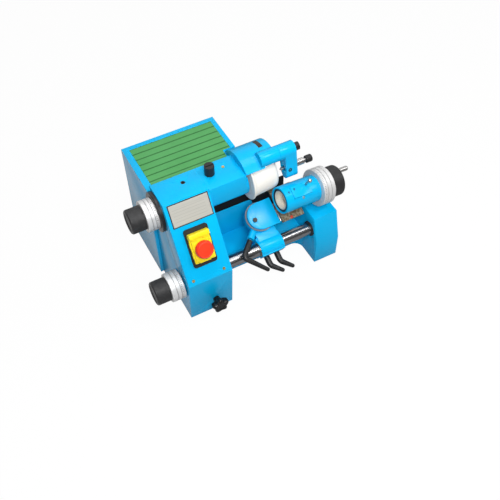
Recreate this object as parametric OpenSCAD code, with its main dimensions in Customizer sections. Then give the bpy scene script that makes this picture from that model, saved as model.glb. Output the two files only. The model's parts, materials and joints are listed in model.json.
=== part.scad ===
// Bench tool and cutter grinder: a column with an overhung cup wheel, a wheel dresser, and a work carriage
// on a guide bar with a swivelling, tilting workhead.
// Lengths run from the column's left face, its front crease and the floor; place() moves that corner so that
// the origin lies on the floor in the middle of the foot.

/* [Column] */
// Width of the column along the spindle
column_w = 103; // [98:1:108]
// Height of the column above the floor
column_h = 285.5; // [284:0.5:292]
// Depth from the front crease to the column's rear face
column_d = 164; // [161:1:170]
// Height of the crease below the sloped panel
crease_h = 122.8; // [118:0.1:128]
// How far back the panel's top edge lies
panel_run = 97; // [90:1:104]
// How far the lower front draws in at the floor
toe_in = 10.7; // [6:0.1:14]
// Wall of the column casting
column_wall = 8; // [6:0.5:10]

/* [Base] */
// Length of the foot, from the column's left face to the end block's right face
foot_l = 383; // [380:1:395]
// Width of the end block along the bar
block_w = 59; // [55:1:62]
// Room under the index dial to the end block's top
dial_room = 8.2; // [5.4:0.2:12]
// Height of the end block's front crease
block_crease_h = 63.7; // [55:0.1:75]
// Front of the end block at the crease
block_front = 11.8; // [8:0.1:16]
// Front face of the bed
bed_front = 90; // [88:1:100]
// Top of the bed
bed_h = 59; // [50:1:64]
// Rounding in plan where the bed meets the end block
bed_fillet = 22; // [10:1:30]

/* [Cabinet] */
// Length of the cabinet along the spindle
cabinet_l = 223; // [215:1:235]
// Depth of the cabinet behind the column
cabinet_d = 145; // [140:1:160]
// Height of the cabinet's rim
cabinet_h = 272.5; // [268:0.5:278]
// How far the cabinet stands out to the left of the column
cabinet_step = 7; // [4:1:12]
// Sheet of the cabinet
cabinet_wall = 5; // [4:0.5:6]
// Thickness of the tray mat
mat_t = 4; // [3:0.5:5]
// Number of grooves across the mat
mat_grooves = 6; // [4:1:9]

/* [Grinding head] */
// Spindle axis in front of the column's rear face
spindle_back = 30; // [29:0.5:31]
// Spindle axis below the column's top
spindle_drop = 49.5; // [48.5:0.5:51]
// Length of the head casting
head_l = 86; // [82:1:92]
// Radius of the spindle housing
housing_r = 34; // [32:0.5:38]
// Radius of the quill
quill_r = 26; // [24:0.5:27]
// Radius of the spindle shaft
shaft_r = 12; // [10:0.5:13]
// Radius of the cup wheel at its shoulder
wheel_r = 47; // [44:0.5:47]
// Length of the cup wheel
wheel_l = 65.5; // [60:0.5:66]
// Outer radius of the wheel guard
guard_r = 68; // [66:0.5:70]
// Wall of the wheel guard
guard_wall = 6; // [5:0.5:7]
// Length of the wheel guard
guard_l = 79; // [74:1:82]

/* [Dresser] */
// Dresser pivot in front of the spindle axis
boss_forward = 28; // [27:0.5:30]
// Dresser pivot above the spindle axis
boss_rise = 64.5; // [64:0.5:67]
// Radius of the dresser boss
boss_r = 17; // [14:0.5:17]
// Dresser rod in front of the spindle axis
dress_forward = 37; // [35:0.5:39]
// Dresser rod above the spindle axis
dress_rise = 24; // [22:0.5:26]
// Radius of the dresser rod
dress_r = 7.5; // [6.5:0.25:8]

/* [Guide bar] */
// Bar axis behind the front crease
bar_y = 44; // [42:0.5:46]
// Bar axis above the floor
bar_z = 93; // [91:0.5:95]
// Radius of the guide bar
bar_r = 14; // [13:0.25:14.5]
// Radius of the upper dial
upper_dial_r = 35; // [31:0.5:37]
// Radius of the lower dial
lower_dial_r = 33; // [30:0.5:36]
// Radius of the knurled knobs
knob_r = 27; // [24:0.5:29]
// Length of the knurled knobs
knob_l = 32; // [28:1:36]

/* [Work carriage] */
// Left face of the carriage on the bar
carriage_x = 190; // [186:1:194]
// Width of the carriage clamp
carriage_w = 57; // [52:1:58]
// Forward swing of the carriage about the bar, in degrees
swing_angle = 30; // [28:0.5:32]
// Radius of the swivel ring
ring_r = 33.5; // [32:0.5:36]
// Radius of the swivel slab's round end
slab_r = 31; // [28:0.5:32]
// Top of the swivel slab above the bar axis
slab_top = 36; // [35.5:0.25:37]
// Thickness of the swivel slab
slab_t = 8.8; // [7.5:0.1:8.8]

/* [Workhead] */
// Tilt of the workhead, bore end up, in degrees
relief_angle = 9; // [8:0.25:9.5]
// Radius of the workhead body
workhead_r = 30.5; // [28:0.5:31]
// Length of the workhead body
workhead_l = 91; // [88:0.5:93]
// Radius of the work spindle
work_spindle_r = 26.5; // [24:0.5:27]
// Radius of the collet bore
collet_bore_r = 12; // [8:0.5:14]
// Radius of the index dial
index_r = 43; // [40:0.5:43.5]
// Thickness of the index dial
index_t = 31; // [26:0.5:33]
// Radius of the drawbar knob
drawbar_r = 35.5; // [30:0.5:37]

/* [Drive] */
// Motor axis above the floor
motor_z = 118; // [114:1:122]
// Room round the motor to the cabinet's front and rear walls
motor_room = 11.5; // [10:0.5:16]
// Length of the motor as a share of the cabinet's length
motor_l_share = 0.43; // [0.39:0.01:0.46]
// Radius of the motor pulley
motor_pulley_r = 28; // [24:1:32]
// Radius of the spindle pulley
spindle_pulley_r = 16; // [15:0.5:17]

/* [Switch] */
// Width of the switch plate
switch_w = 54.5; // [50:0.5:58]
// Height of the switch plate
switch_h = 87.6; // [82:0.2:90]
// Radius of the mushroom stop button
stop_r = 20; // [16:0.5:21]

/* [Hidden] */
$fn = 96;

// Overrun of every cut
over = 1;
// How far a straight edge lies inside the rounds it joins
seam = 0.3;
// Radial clearance of a running fit
run_gap = 0.05;
// Radial clearance of pieces that are fixed together
seat_gap = 0.02;
// Clearance between neighbouring faces that pass each other
side_gap = 0.3;

blue = [0.07, 0.56, 0.85];
steel = [0.78, 0.78, 0.79];
black = [0.12, 0.12, 0.12];
brass = [0.72, 0.6, 0.33];

// Frame
foot_d = column_d + cabinet_d;
spindle_y = column_d - spindle_back;
spindle_z = column_h - spindle_drop;
boss_y = spindle_y - boss_forward;
boss_z = spindle_z + boss_rise;
dress_y = spindle_y - dress_forward;
dress_z = spindle_z + dress_rise;
panel_angle = atan2(column_h - crease_h, panel_run);
panel_l = norm([panel_run, column_h - crease_h]);

// Column cavity
toe_shift = column_wall / cos(atan2(toe_in, crease_h));
panel_shift = column_wall / sin(panel_angle);
cavity_top = column_h - column_wall;
cavity_top_y = panel_run * (cavity_top - crease_h) / (column_h - crease_h) + panel_shift;
cavity_foot_y = toe_in * (1 - column_wall / crease_h) + toe_shift;

// Base
block_toe = 3.5;
block_lean = 16.2;
block_top_d = 82;
block_back_h = 80;
bed_wall = 8;
bed_rib_w = 24;
block_x = foot_l - block_w;

// Cabinet
rim_left = 15;
rim_right = 11;
rim_back = 12;
rim_front = 3;
groove_w = 2;
groove_depth = 1;
notch_z = 165;
notch_gap = 1;
notch_side = 1;
notch_rim = 1.5;
cover_t = 2;
cover_rim = 15;
cover_lap = 6;
vent_count = 5;
vent_w = 4;
vent_l = 70;
vent_pitch = 14;
cover_screw_r = 2;
cover_screw_head_r = 4;
cover_screw_head_h = 2;
cover_screw_l = 6;
belt_window_share = 0.88;
inlet_r = 8;
inlet_l = 9;
inlet_bore_r = 3;
inlet_x = 24;
inlet_z = 45;

// Head and guard
guard_x = column_w + head_l;
head_forward = 42;
head_front = spindle_y - head_forward;
head_face_h = 51;
nose_gap = 3.5;
nose_part = 2;
guard_front_angle = 50;
guard_right_angle = 74;
guard_back_angle = 155.75;
notch_back = -guard_r * cos(guard_back_angle) - spindle_back + notch_gap;
guard_crease_share = 0.58;
guard_hole_r = 26;
guard_fan_share = 1.6;
boss_start_share = 0.46;
boss_l = 44.5;
boss_x = guard_x + boss_start_share * guard_l;
guard_screw_radius = 36;
guard_screw_angles = [70, 100, 130];

// Screws
socket_r = 3;
socket_head_r = 5;
socket_head_h = 5;
socket_l = 12;
socket_hex_r = 2.6;
socket_sink = 1;
brass_r = 2;
brass_head_r = 3.2;
brass_head_h = 1.4;
brass_l = 7;
brass_slot_w = 0.8;
top_screw_x = 65;
top_screw_offset = 5;
oil_screw_x = 158;
panel_screw_left = 13.7;
panel_screw_right = 86;
panel_screw_v = 11.5;

// Quill, spindle and wheel
quill_x = 24;
quill_end_gap = 3;
quill_l = guard_x - quill_end_gap - quill_x;
quill_cap = 20;
quill_wall = 6;
bearing_w = 12;
bearing_margin = 6;
pulley_x = 52;
pulley_w = 22;
window_margin = 4;
bearing_rear_x = pulley_x + pulley_w + window_margin + bearing_margin;
bearing_front_x = quill_x + quill_l - bearing_margin - bearing_w;
shaft_x = quill_x + quill_cap + bearing_margin;
wheel_gap = 9;
wheel_x = guard_x + guard_wall + wheel_gap;
nose_r = 10;
nose_flange_r = 22;
nose_flange_t = 8;
nose_l = 34;
wheel_lip = 5;
wheel_lip_t = 4;
wheel_taper = 3.5;
wheel_round = 4;
wheel_back_t = 14;
wheel_rim_t = 11;
nut_r = 15;
nut_l = 12;
nut_washer_r = 21;
nut_washer_t = 4;

// Feed dials
screw_r = 6;
screw_reach = 40;
flange_r = 45;
flange_t = 8;
flange_chamfer = 1.5;
dial_l = 26;
lower_dial_gap = 3;
lower_dial_l = 31;
dial_groove = 1.2;
dial_groove_w = 2;
dial_groove_shares = [0.36, 0.66];
dial_chamfer = 1;
knob_chamfer = 2;
knob_recess = 1.5;
knob_recess_share = 0.8;

// Bar
bar_x = 14;
bar_seat = 42;
bar_free = 8;
bar_l = block_x + bar_seat - bar_x;
bar_boss_x = 48;
bar_boss_r = 22;
bar_slit = 3;
wiper_r = 18;
wiper_t = 4;
bar_screw_depth = 34;

// Star knob
star_x = 62;
star_z = 40;
star_r = 14;
star_lobe_r = 7.5;
star_lobes = 5;
star_hub_r = 12;
star_t = 16;
star_neck_r = 8;
star_neck_l = 12;
star_screw_r = 4;
star_neck_y = toe_in * (1 - (star_z + star_neck_r) / crease_h) - side_gap;

// Quill lock knob
lock_x = 124.5;
lock_r = 11;
lock_h = 24;
lock_screw_r = 4;
lock_slot_w = 2.5;
lock_slot_depth = 4;
lock_foot = 1.2;

// Dresser
arm_x = boss_x + boss_l + side_gap;
arm_w = 38.5;
arm_step = 11.5;
arm_end_r = 13;
arm_drop = 12;
pivot_r = 6;
pivot_seat = 26;
pivot_head_r = 9;
pivot_head_l = 13;
dress_gap = 2.5;
tip_r = 4;
tip_x = wheel_x + wheel_l + dress_gap;
tip_l = 14;
diamond_l = 4;
rod_tail = 22;
rod_neck_r = 4;
rod_neck_l = 5;
dress_knob_r = 8.5;
dress_knob_l = 15;

// Carriage
liner_t = 3;
clamp_front = 19.5;
clamp_back = 24;
clamp_top = 12;
clamp_low = 14;
clamp_round = 21;
lug_t = 12.5;
lug_drop = 36;
slit_w = 3;
ring_inset = 27;
ring_x = carriage_x + ring_inset;
wheel_room = 77.4;
bore_y = (spindle_y - bar_y) * cos(swing_angle) + (spindle_z - bar_z) * sin(swing_angle) - wheel_room;
ring_forward = 7;
ring_y = bore_y - ring_forward;
ring_t = 3;
ring_base = slab_top - slab_t - side_gap - ring_t;
platform_t = 16;
web_inset = 4;
web_t = 8;
pivot_stub_r = 8;
lever_boss_r = 8;
lever_boss_l = 23;
lever_boss_turn = 224;
lever_boss_rise = 11;
stud_r = 4;
stud_l = 22;
lever_hub_r = 6.5;
lever_hub_l = 32;
lever_handle_l = 34;
lever_handle_r = 6;
lever_handle_tip_r = 4.2;
lever_lean = 44;
lever_drop = 26;
lever_left_inset = 19;
lever_right_inset = 45;
lever_left_x = carriage_x + lever_left_inset;
lever_right_x = carriage_x + lever_right_inset;
swivel_hub_l = 48;
swivel_handle = [45, -47, -9];
swivel_handle_r = 6;
swivel_handle_tip_r = 4.4;
swivel_seat = 4;

// Swivel slab and slide table
slab_l = 36;
bolt_x = -17;
bolt_y = -5;
bolt_r = 5.5;
bolt_h = 4;
bolt_shank_r = 3;
table_gap = 6;
table_l = 55;
table_front = 40;
table_back = 40;
table_t = 6.2;
table_step = 2;
table_top = slab_top - table_step;
tongue_w = 30;
tongue_t = 4;
table_x = ring_x + slab_l + table_gap;

// Workhead, in its own frame from the bore face
bore_reach = 65;
bore_x = carriage_x + bore_reach;
bore_h = 84;
pin_along = 51;
pin_drop = 35;
pin_r = 3;
foot_w = 24;
foot_pad = 26;
foot_round = 5.8;
ear_t = 7;
ear_r = 5.8;
rib_w = 26;
rib_x = 18;
rib_l = 48;
rib_rise = 2;
rib_bed = 8;
spindle_inset = 1.5;
spindle_tail_r = 20;
collet_r = 21.5;
collet_l = 58;
collet_inset = 2;
collet_relief = 1.5;
collet_mouth_r = 19;
collet_mouth_l = 11;
index_chamfer = 1.5;
index_groove = 1.2;
index_groove_w = 2;
index_groove_shares = [0.3, 0.62];
drawbar_l = 32;
drawbar_wall = 6;
crank_r = 5.6;
crank_l = 42;
crank_seat = 10;
crank_offset = 17;
plunger_x = 57;
plunger_y = 8.5;
plunger_r = 2.5;
plunger_ball_r = 4.5;
plunger_stand = 22;
plunger_depth = 4;
pin_x = bore_x + pin_along * cos(relief_angle) - pin_drop * sin(relief_angle);
pin_h = bore_h - pin_along * sin(relief_angle) - pin_drop * cos(relief_angle);
dial_fall = (workhead_l + side_gap) * sin(relief_angle);
dial_z = bar_z + bore_y * sin(swing_angle) + (bore_h - dial_fall) * cos(swing_angle);
block_h = dial_z - index_r - dial_room;

// Drive
motor_x = 80;
motor_y = column_d + cabinet_d / 2;
motor_r = cabinet_d / 2 - cabinet_wall - motor_room;
motor_l = motor_l_share * cabinet_l;
stator_t = 21.5;
motor_shield_t = 8;
rotor_gap = 0.5;
rotor_r = motor_r - stator_t - rotor_gap;
rotor_end = 4;
rotor_shaft_r = 9;
rotor_tail = 6;
belt_gap = 0.1;
belt_t = 2;
belt_w = 16;
bracket_w = 14;
bracket_inset = 14;
bracket_half = 46;
bracket_rise = 34;
bracket_plate_t = 4;

// Splash wall
wall_gap = 10;
wall_t = 3;
wall_l = 129;
wall_h = 79;
wall_round = 12;

// Switch and nameplate, on the panel
switch_x = 23.5;
switch_v = 37;
switch_plate_t = 4;
switch_round = 6;
block_in = 6;
block_depth = 40;
lid_side = 3.5;
lid_bottom = 11;
lid_top = 9;
lid_h = 16;
lid_wall = 2;
lid_step_h = 5;
lid_step_l = 10;
lid_hinge_r = 2;
stop_v_share = 0.45;
stop_t = 13;
stop_crown_share = 0.83;
stop_stem_r = 6;
stop_rise = 1.5;
stop_travel = 4;
start_r = 5;
start_v_share = 0.78;
start_h = 5;
start_travel = 3;
plate_x = 7.5;
plate_w = 92;
plate_v = 134.5;
plate_h = 51.5;
plate_t = 1.2;
lid_w = switch_w - 2 * lid_side;
lid_v = switch_v + lid_bottom;
lid_l = switch_h - lid_bottom - lid_top;
stop_x = switch_x + switch_w / 2;
stop_v = lid_v + stop_v_share * lid_l;
start_v = lid_v + start_v_share * lid_l;

column_outline = [
    [toe_in, 0], [0, crease_h], [panel_run, column_h], [column_d, column_h], [column_d, 0]
];
column_cavity = [
    [cavity_foot_y, column_wall], [max(toe_shift, panel_shift), crease_h], [cavity_top_y, cavity_top],
    [column_d + over, cavity_top], [column_d + over, column_wall]
];
block_outline = [
    [block_front + block_toe, 0], [block_front, block_crease_h], [block_front + block_lean, block_h],
    [block_front + block_lean + block_top_d, block_h], [column_d, block_back_h], [column_d, 0]
];
head_outline = [
    [head_front, column_h], [column_d, column_h], [column_d, column_h - head_face_h],
    [head_front, column_h - head_face_h]
];

// Moves the machine so that the origin is on the floor in the middle of the foot
module place() {
    translate([-foot_l / 2, -foot_d / 2, 0]) children();
}

// Carries an outline in depth and height along the machine
module along_x(l) {
    rotate([90, 0, 90]) linear_extrude(l) children();
}

module rod_x(r, l) {
    rotate([0, 90, 0]) cylinder(r = r, h = l);
}

// Turns a profile of [distance along, radius] points about the machine's length
module turned_x(profile) {
    rotate([0, 90, 0]) rotate_extrude() polygon([for (p = profile) [p[1], p[0]]]);
}

module tube_x(outer, inner, l) {
    difference() {
        rod_x(outer, l);
        translate([-over, 0, 0]) rod_x(inner, l + 2 * over);
    }
}

module at_spindle(x) {
    place() translate([x, spindle_y, spindle_z]) children();
}

module at_bar(x) {
    place() translate([x, bar_y, bar_z]) children();
}

module panel_frame() {
    translate([0, 0, crease_h]) rotate([panel_angle, 0, 0]) children();
}

module on_carriage() {
    place() translate([0, bar_y, bar_z]) rotate([swing_angle, 0, 0]) children();
}

module on_workhead() {
    on_carriage() translate([bore_x, bore_y, bore_h]) rotate([0, relief_angle, 0]) children();
}

module rounded(w, h, r) {
    translate([r, 0]) square([w - 2 * r, h]);
    translate([0, r]) square([w, h - 2 * r]);
    for (x = [r, w - r], y = [r, h - r]) translate([x, y]) circle(r);
}

// Two rods joined by their outer tangents
function tangent(p, r, q, s, side) =
    let (d = q - p, a = atan2(d[1], d[0]), b = side * acos((r - s) / norm(d)))
    [p + r * [cos(a + b), sin(a + b)], q + s * [cos(a + b), sin(a + b)]];

module strap_x(l, p, r, q, s) {
    left = tangent(p, r - seam, q, s - seam, 1);
    right = tangent(p, r - seam, q, s - seam, -1);
    translate([0, p[0], p[1]]) rod_x(r, l);
    translate([0, q[0], q[1]]) rod_x(s, l);
    along_x(l) polygon([right[0], right[1], left[1], left[0]]);
}

// Fan about the spindle between two angles, measured from the front upwards
module fan(from, to, r) {
    steps = 3;
    polygon(concat([[0, 0]], [for (i = [0 : steps])
        let (a = from + (to - from) * i / steps) r * [-cos(a), sin(a)]]));
}

module toward(v) {
    rotate([0, acos(v[2] / norm(v)), atan2(v[1], v[0])]) children();
}

module grooved(l, r, depth, w, shares, chamfer) {
    turned_x(concat(
        [[0, 0], [0, r - chamfer], [chamfer, r]],
        [for (s = shares) each [[s * l, r], [s * l, r - depth], [s * l + w, r - depth], [s * l + w, r]]],
        [[l - chamfer, r], [l, r - chamfer], [l, 0]]));
}

module slotted_screw() {
    difference() {
        cylinder(r = brass_head_r, h = brass_head_h);
        translate([-brass_head_r - over, -brass_slot_w / 2, brass_head_h / 2])
            cube([2 * (brass_head_r + over), brass_slot_w, brass_head_h]);
    }
    translate([0, 0, -brass_l]) cylinder(r = brass_r, h = brass_l + brass_head_h / 2);
}

module socket_screw() {
    difference() {
        cylinder(r = socket_head_r, h = socket_head_h);
        translate([0, 0, socket_head_h / 2]) cylinder(r = socket_hex_r, h = socket_head_h, $fn = 6);
    }
    translate([0, 0, -socket_l]) cylinder(r = socket_r, h = socket_l + socket_head_h / 2);
}

module socket_hole() {
    cylinder(r = socket_head_r + seat_gap, h = socket_head_h + socket_sink + over);
    translate([0, 0, -socket_l]) cylinder(r = socket_r + seat_gap, h = socket_l + over);
}

module brass_hole() {
    translate([0, 0, -brass_l - seat_gap]) cylinder(r = brass_r + seat_gap, h = brass_l + over);
}

module knurled_knob(bore) {
    recess_r = knob_recess_share * knob_r;
    difference() {
        turned_x([
            [0, 0], [0, recess_r], [-knob_recess, recess_r], [-knob_recess, knob_r - knob_chamfer],
            [knob_chamfer - knob_recess, knob_r], [knob_l, knob_r], [knob_l, 0]
        ]);
        translate([knob_l / 2, 0, 0]) rod_x(bore + seat_gap, knob_l);
    }
}

// Screw let into the top of the column
module top_screw_place() {
    translate([top_screw_x, spindle_y + top_screw_offset, column_h - socket_head_h - socket_sink]) children();
}

module column_casting() {
    color(blue) place() difference() {
        union() {
            difference() {
                along_x(column_w) polygon(column_outline);
                translate([column_wall, 0, 0]) along_x(column_w - 2 * column_wall) polygon(column_cavity);
            }
            translate([bar_boss_x, bar_y - bar_boss_r, column_wall / 2])
                cube([column_w - column_wall / 2 - bar_boss_x, 2 * bar_boss_r,
                    bar_z + bar_boss_r - column_wall / 2]);
        }
        translate([-over, spindle_y, spindle_z]) rod_x(screw_r + run_gap, column_wall + 2 * over);
        translate([-over, bar_y, bar_z]) rod_x(screw_r + run_gap, column_wall + 2 * over);
        translate([column_w - column_wall - over, spindle_y, spindle_z])
            rod_x(quill_r + run_gap, column_wall + 2 * over);
        translate([bar_boss_x - over, bar_y, bar_z]) rod_x(bar_r + run_gap, column_w - bar_boss_x + 2 * over);
        translate([bar_boss_x - over, bar_y - bar_slit / 2, column_wall])
            cube([column_w - column_wall - bar_boss_x + over, bar_slit, bar_z - column_wall]);
        translate([star_x, -over, star_z]) rotate([-90, 0, 0])
            cylinder(r = star_screw_r + run_gap, h = bar_y + bar_boss_r + 2 * over);
        top_screw_place() socket_hole();
        panel_frame() {
            translate([switch_x + block_in - seat_gap, switch_v + block_in - seat_gap, -2 * column_wall])
                cube([switch_w - 2 * block_in + 2 * seat_gap, switch_h - 2 * block_in + 2 * seat_gap,
                    2 * column_wall + over]);
            for (x = [panel_screw_left, panel_screw_right]) translate([x, panel_screw_v, 0]) brass_hole();
        }
    }
}

// Hollow under the bed, either side of its middle rib
module bed_pocket(from, to) {
    translate([from, bed_front + bed_wall, -over])
        cube([to - from, column_d - bed_front - 2 * bed_wall, bed_h - bed_wall + over]);
}

module base_casting() {
    color(blue) place() difference() {
        union() {
            translate([column_w, bed_front, 0])
                cube([block_x - column_w + over, column_d - bed_front, bed_h]);
            translate([block_x, 0, 0]) along_x(block_w) polygon(block_outline);
            difference() {
                translate([block_x - bed_fillet, bed_front - bed_fillet, 0])
                    cube([bed_fillet + over, bed_fillet + over, bed_h]);
                translate([block_x - bed_fillet, bed_front - bed_fillet, -over])
                    cylinder(r = bed_fillet, h = bed_h + 2 * over);
            }
        }
        bed_pocket(column_w + bed_wall, (foot_l - bed_rib_w) / 2);
        bed_pocket((foot_l + bed_rib_w) / 2, block_x - bed_wall);
        translate([block_x + bed_wall, bar_y + bar_boss_r + bed_wall, -over])
            cube([block_w - 2 * bed_wall, column_d - bar_y - bar_boss_r - 2 * bed_wall, bed_h + over]);
        translate([block_x - over, bar_y, bar_z]) rod_x(bar_r + run_gap, bar_seat + bar_free + over);
    }
}

// Outline of the cabinet in plan, grown or shrunk by an inset
module cabinet_block(inset, low, high) {
    difference() {
        translate([inset - cabinet_step, column_d + inset, low])
            cube([cabinet_l - 2 * inset, cabinet_d - 2 * inset, high - low]);
        translate([guard_x - notch_side - inset, column_d - over, notch_z - inset])
            cube([cabinet_l, notch_back + over + inset, cabinet_h]);
    }
}

module cabinet_shell() {
    tray_z = cabinet_h - mat_t;
    color(blue) place() difference() {
        cabinet_block(0, 0, cabinet_h);
        cabinet_block(cabinet_wall, cabinet_wall, tray_z - cabinet_wall);
        mat_block(side_gap, tray_z, mat_t + over);
        translate([cover_rim - cabinet_step, column_d + cabinet_d - cabinet_wall - over, cover_rim])
            cube([cabinet_l - 2 * cover_rim, cabinet_wall + 2 * over, cabinet_h - 3 * cover_rim]);
        translate([column_wall, column_d - over, motor_z - motor_pulley_r - belt_w])
            cube([belt_window_share * (column_w - 2 * column_wall), cabinet_wall + 2 * over,
                spindle_z + quill_r - motor_z + motor_pulley_r + belt_w]);
        cover_screw_places() translate([0, 0, -cover_screw_l - seat_gap])
            cylinder(r = cover_screw_r + seat_gap, h = cover_screw_l + over);
        translate([-cabinet_step - over, spindle_y, spindle_z])
            rod_x(flange_r + side_gap, cabinet_step + over);
    }
}

module mat_block(grow, z, h) {
    difference() {
        translate([rim_left - cabinet_step - grow, column_d + rim_front - grow, z])
            cube([cabinet_l - rim_left - rim_right + 2 * grow,
                cabinet_d - rim_front - rim_back + 2 * grow, h]);
        translate([guard_x - notch_side - notch_rim + grow, column_d - over, z - over])
            cube([cabinet_l, notch_back + notch_rim + over - grow, h + 2 * over]);
    }
}

module tray_mat() {
    pitch = (cabinet_d - rim_front - rim_back) / (mat_grooves + 1);
    color([0.3, 0.62, 0.33]) place() difference() {
        mat_block(0, cabinet_h - mat_t, mat_t);
        for (i = [1 : mat_grooves])
            translate([-cabinet_step, column_d + rim_front + i * pitch - groove_w / 2,
                cabinet_h - groove_depth])
                cube([cabinet_l, groove_w, groove_depth + over]);
    }
}

// Corners of the rear cover, each facing out of the back
module cover_screw_places() {
    for (x = [cover_rim - cover_lap / 2, cabinet_l - cover_rim + cover_lap / 2],
        z = [cover_rim - cover_lap / 2, cabinet_h - 2 * cover_rim + cover_lap / 2])
        translate([x - cabinet_step, column_d + cabinet_d, z]) rotate([-90, 0, 0]) children();
}

module cabinet_cover() {
    color(blue) place() difference() {
        translate([cover_rim - cover_lap - cabinet_step, column_d + cabinet_d, cover_rim - cover_lap])
            cube([cabinet_l - 2 * (cover_rim - cover_lap), cover_t,
                cabinet_h - 3 * cover_rim + 2 * cover_lap]);
        for (i = [0 : vent_count - 1])
            translate([cabinet_l / 2 - cabinet_step - vent_l / 2, column_d + cabinet_d - over,
                motor_z + (i - vent_count / 2) * vent_pitch])
                cube([vent_l, cover_t + 2 * over, vent_w]);
        cover_screw_places() translate([0, 0, -over])
            cylinder(r = cover_screw_r + seat_gap, h = cover_t + 2 * over);
        translate([inlet_x, column_d + cabinet_d - over, inlet_z]) rotate([-90, 0, 0])
            cylinder(r = inlet_r / 2 + seat_gap, h = cover_t + 2 * over);
    }
}

module cover_screws() {
    color(steel) place() cover_screw_places() {
        translate([0, 0, cover_t]) cylinder(r = cover_screw_head_r, h = cover_screw_head_h);
        translate([0, 0, -cover_screw_l]) cylinder(r = cover_screw_r, h = cover_screw_l + cover_t + over);
    }
}

module cord_inlet() {
    color(black) place() translate([inlet_x, column_d + cabinet_d + cover_t, inlet_z]) rotate([-90, 0, 0])
        difference() {
            union() {
                cylinder(r = inlet_r, h = inlet_l);
                translate([0, 0, -cover_t - cabinet_wall / 2]) cylinder(r = inlet_r / 2, h = inlet_l);
            }
            translate([0, 0, -cover_t - cabinet_wall]) cylinder(r = inlet_bore_r, h = 3 * inlet_l);
        }
}

module spindle_head() {
    color(blue) place() difference() {
        union() {
            intersection() {
                union() {
                    translate([column_w, spindle_y, spindle_z]) rod_x(housing_r, head_l);
                    translate([column_w, 0, 0]) along_x(head_l) polygon(head_outline);
                }
                translate([column_w, 0, 0]) cube([head_l, column_d, column_h]);
            }
            translate([guard_x - over, spindle_y, spindle_z])
                along_x(over + guard_wall + wheel_gap - nose_gap) difference() {
                    circle(housing_r);
                    fan(guard_front_angle - nose_part, guard_back_angle + nose_part, guard_fan_share * guard_r);
                }
        }
        translate([column_w - over, spindle_y, spindle_z])
            rod_x(quill_r + run_gap, head_l + guard_wall + wheel_gap + 2 * over);
        translate([lock_x, spindle_y, spindle_z]) cylinder(r = lock_screw_r + run_gap, h = column_h);
        translate([oil_screw_x, spindle_y + top_screw_offset, column_h]) brass_hole();
        guard_screw_places() socket_hole();
    }
}

// Screws of the guard, heads let into its end wall
module guard_screw_places() {
    for (a = guard_screw_angles)
        translate([guard_x + guard_wall - socket_head_h - socket_sink,
            spindle_y - guard_screw_radius * cos(a), spindle_z + guard_screw_radius * sin(a)])
            rotate([0, 90, 0]) children();
}

module wheel_guard() {
    crease = guard_crease_share * guard_l;
    fan_r = guard_fan_share * guard_r;
    color(blue) place() difference() {
        union() {
            translate([guard_x, spindle_y, spindle_z]) {
                along_x(guard_wall) intersection() {
                    circle(guard_r);
                    fan(guard_front_angle, guard_back_angle, fan_r);
                }
                along_x(crease) intersection() {
                    difference() {
                        circle(guard_r);
                        circle(guard_r - guard_wall);
                    }
                    fan(guard_front_angle, guard_back_angle, fan_r);
                }
                along_x(guard_l) intersection() {
                    difference() {
                        circle(guard_r);
                        circle(guard_r - guard_wall);
                    }
                    fan(guard_right_angle, guard_back_angle, fan_r);
                }
            }
            translate([boss_x, boss_y, boss_z]) rod_x(boss_r, boss_l);
        }
        translate([guard_x - over, spindle_y, spindle_z]) rod_x(guard_hole_r, guard_wall + 2 * over);
        guard_screw_places() socket_hole();
        translate([boss_x + boss_l - pivot_seat, boss_y, boss_z])
            rod_x(pivot_r + seat_gap, pivot_seat + over);
    }
}

module socket_screws() {
    color(black) place() {
        guard_screw_places() socket_screw();
        top_screw_place() socket_screw();
    }
}

module splash_wall() {
    color(blue) place() translate([column_w, column_d - wall_gap, bed_h]) rotate([90, 0, 0])
        linear_extrude(wall_t) {
            square([wall_l - wall_round, wall_h]);
            square([wall_l, wall_h - wall_round]);
            translate([wall_l - wall_round, wall_h - wall_round]) circle(wall_round);
        }
}

module dial_flange() {
    color(black) at_spindle(-flange_t) difference() {
        turned_x([
            [0, 0], [0, flange_r - flange_chamfer], [flange_chamfer, flange_r],
            [flange_t, flange_r], [flange_t, 0]
        ]);
        translate([-over, 0, 0]) rod_x(screw_r + run_gap, flange_t + 2 * over);
    }
}

module nameplate() {
    color([0.8, 0.79, 0.76]) place() panel_frame() translate([plate_x, plate_v, 0])
        cube([plate_w, plate_h, plate_t]);
}

module switch_plate() {
    color(black) place() panel_frame() difference() {
        translate([switch_x, switch_v, 0]) linear_extrude(switch_plate_t)
            rounded(switch_w, switch_h, switch_round);
        translate([stop_x, stop_v, -over])
            cylinder(r = stop_stem_r + side_gap, h = switch_plate_t + 2 * over);
        translate([stop_x, start_v, -over]) cylinder(r = start_r + run_gap, h = switch_plate_t + 2 * over);
    }
}

module switch_block() {
    color(black) place() panel_frame() difference() {
        translate([switch_x + block_in, switch_v + block_in, -block_depth])
            cube([switch_w - 2 * block_in, switch_h - 2 * block_in, block_depth]);
        translate([stop_x, stop_v, -stop_travel - over])
            cylinder(r = stop_stem_r + side_gap, h = stop_travel + 2 * over);
        translate([stop_x, start_v, -start_h - start_travel])
            cylinder(r = start_r + run_gap, h = start_h + start_travel + over);
    }
}

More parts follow.
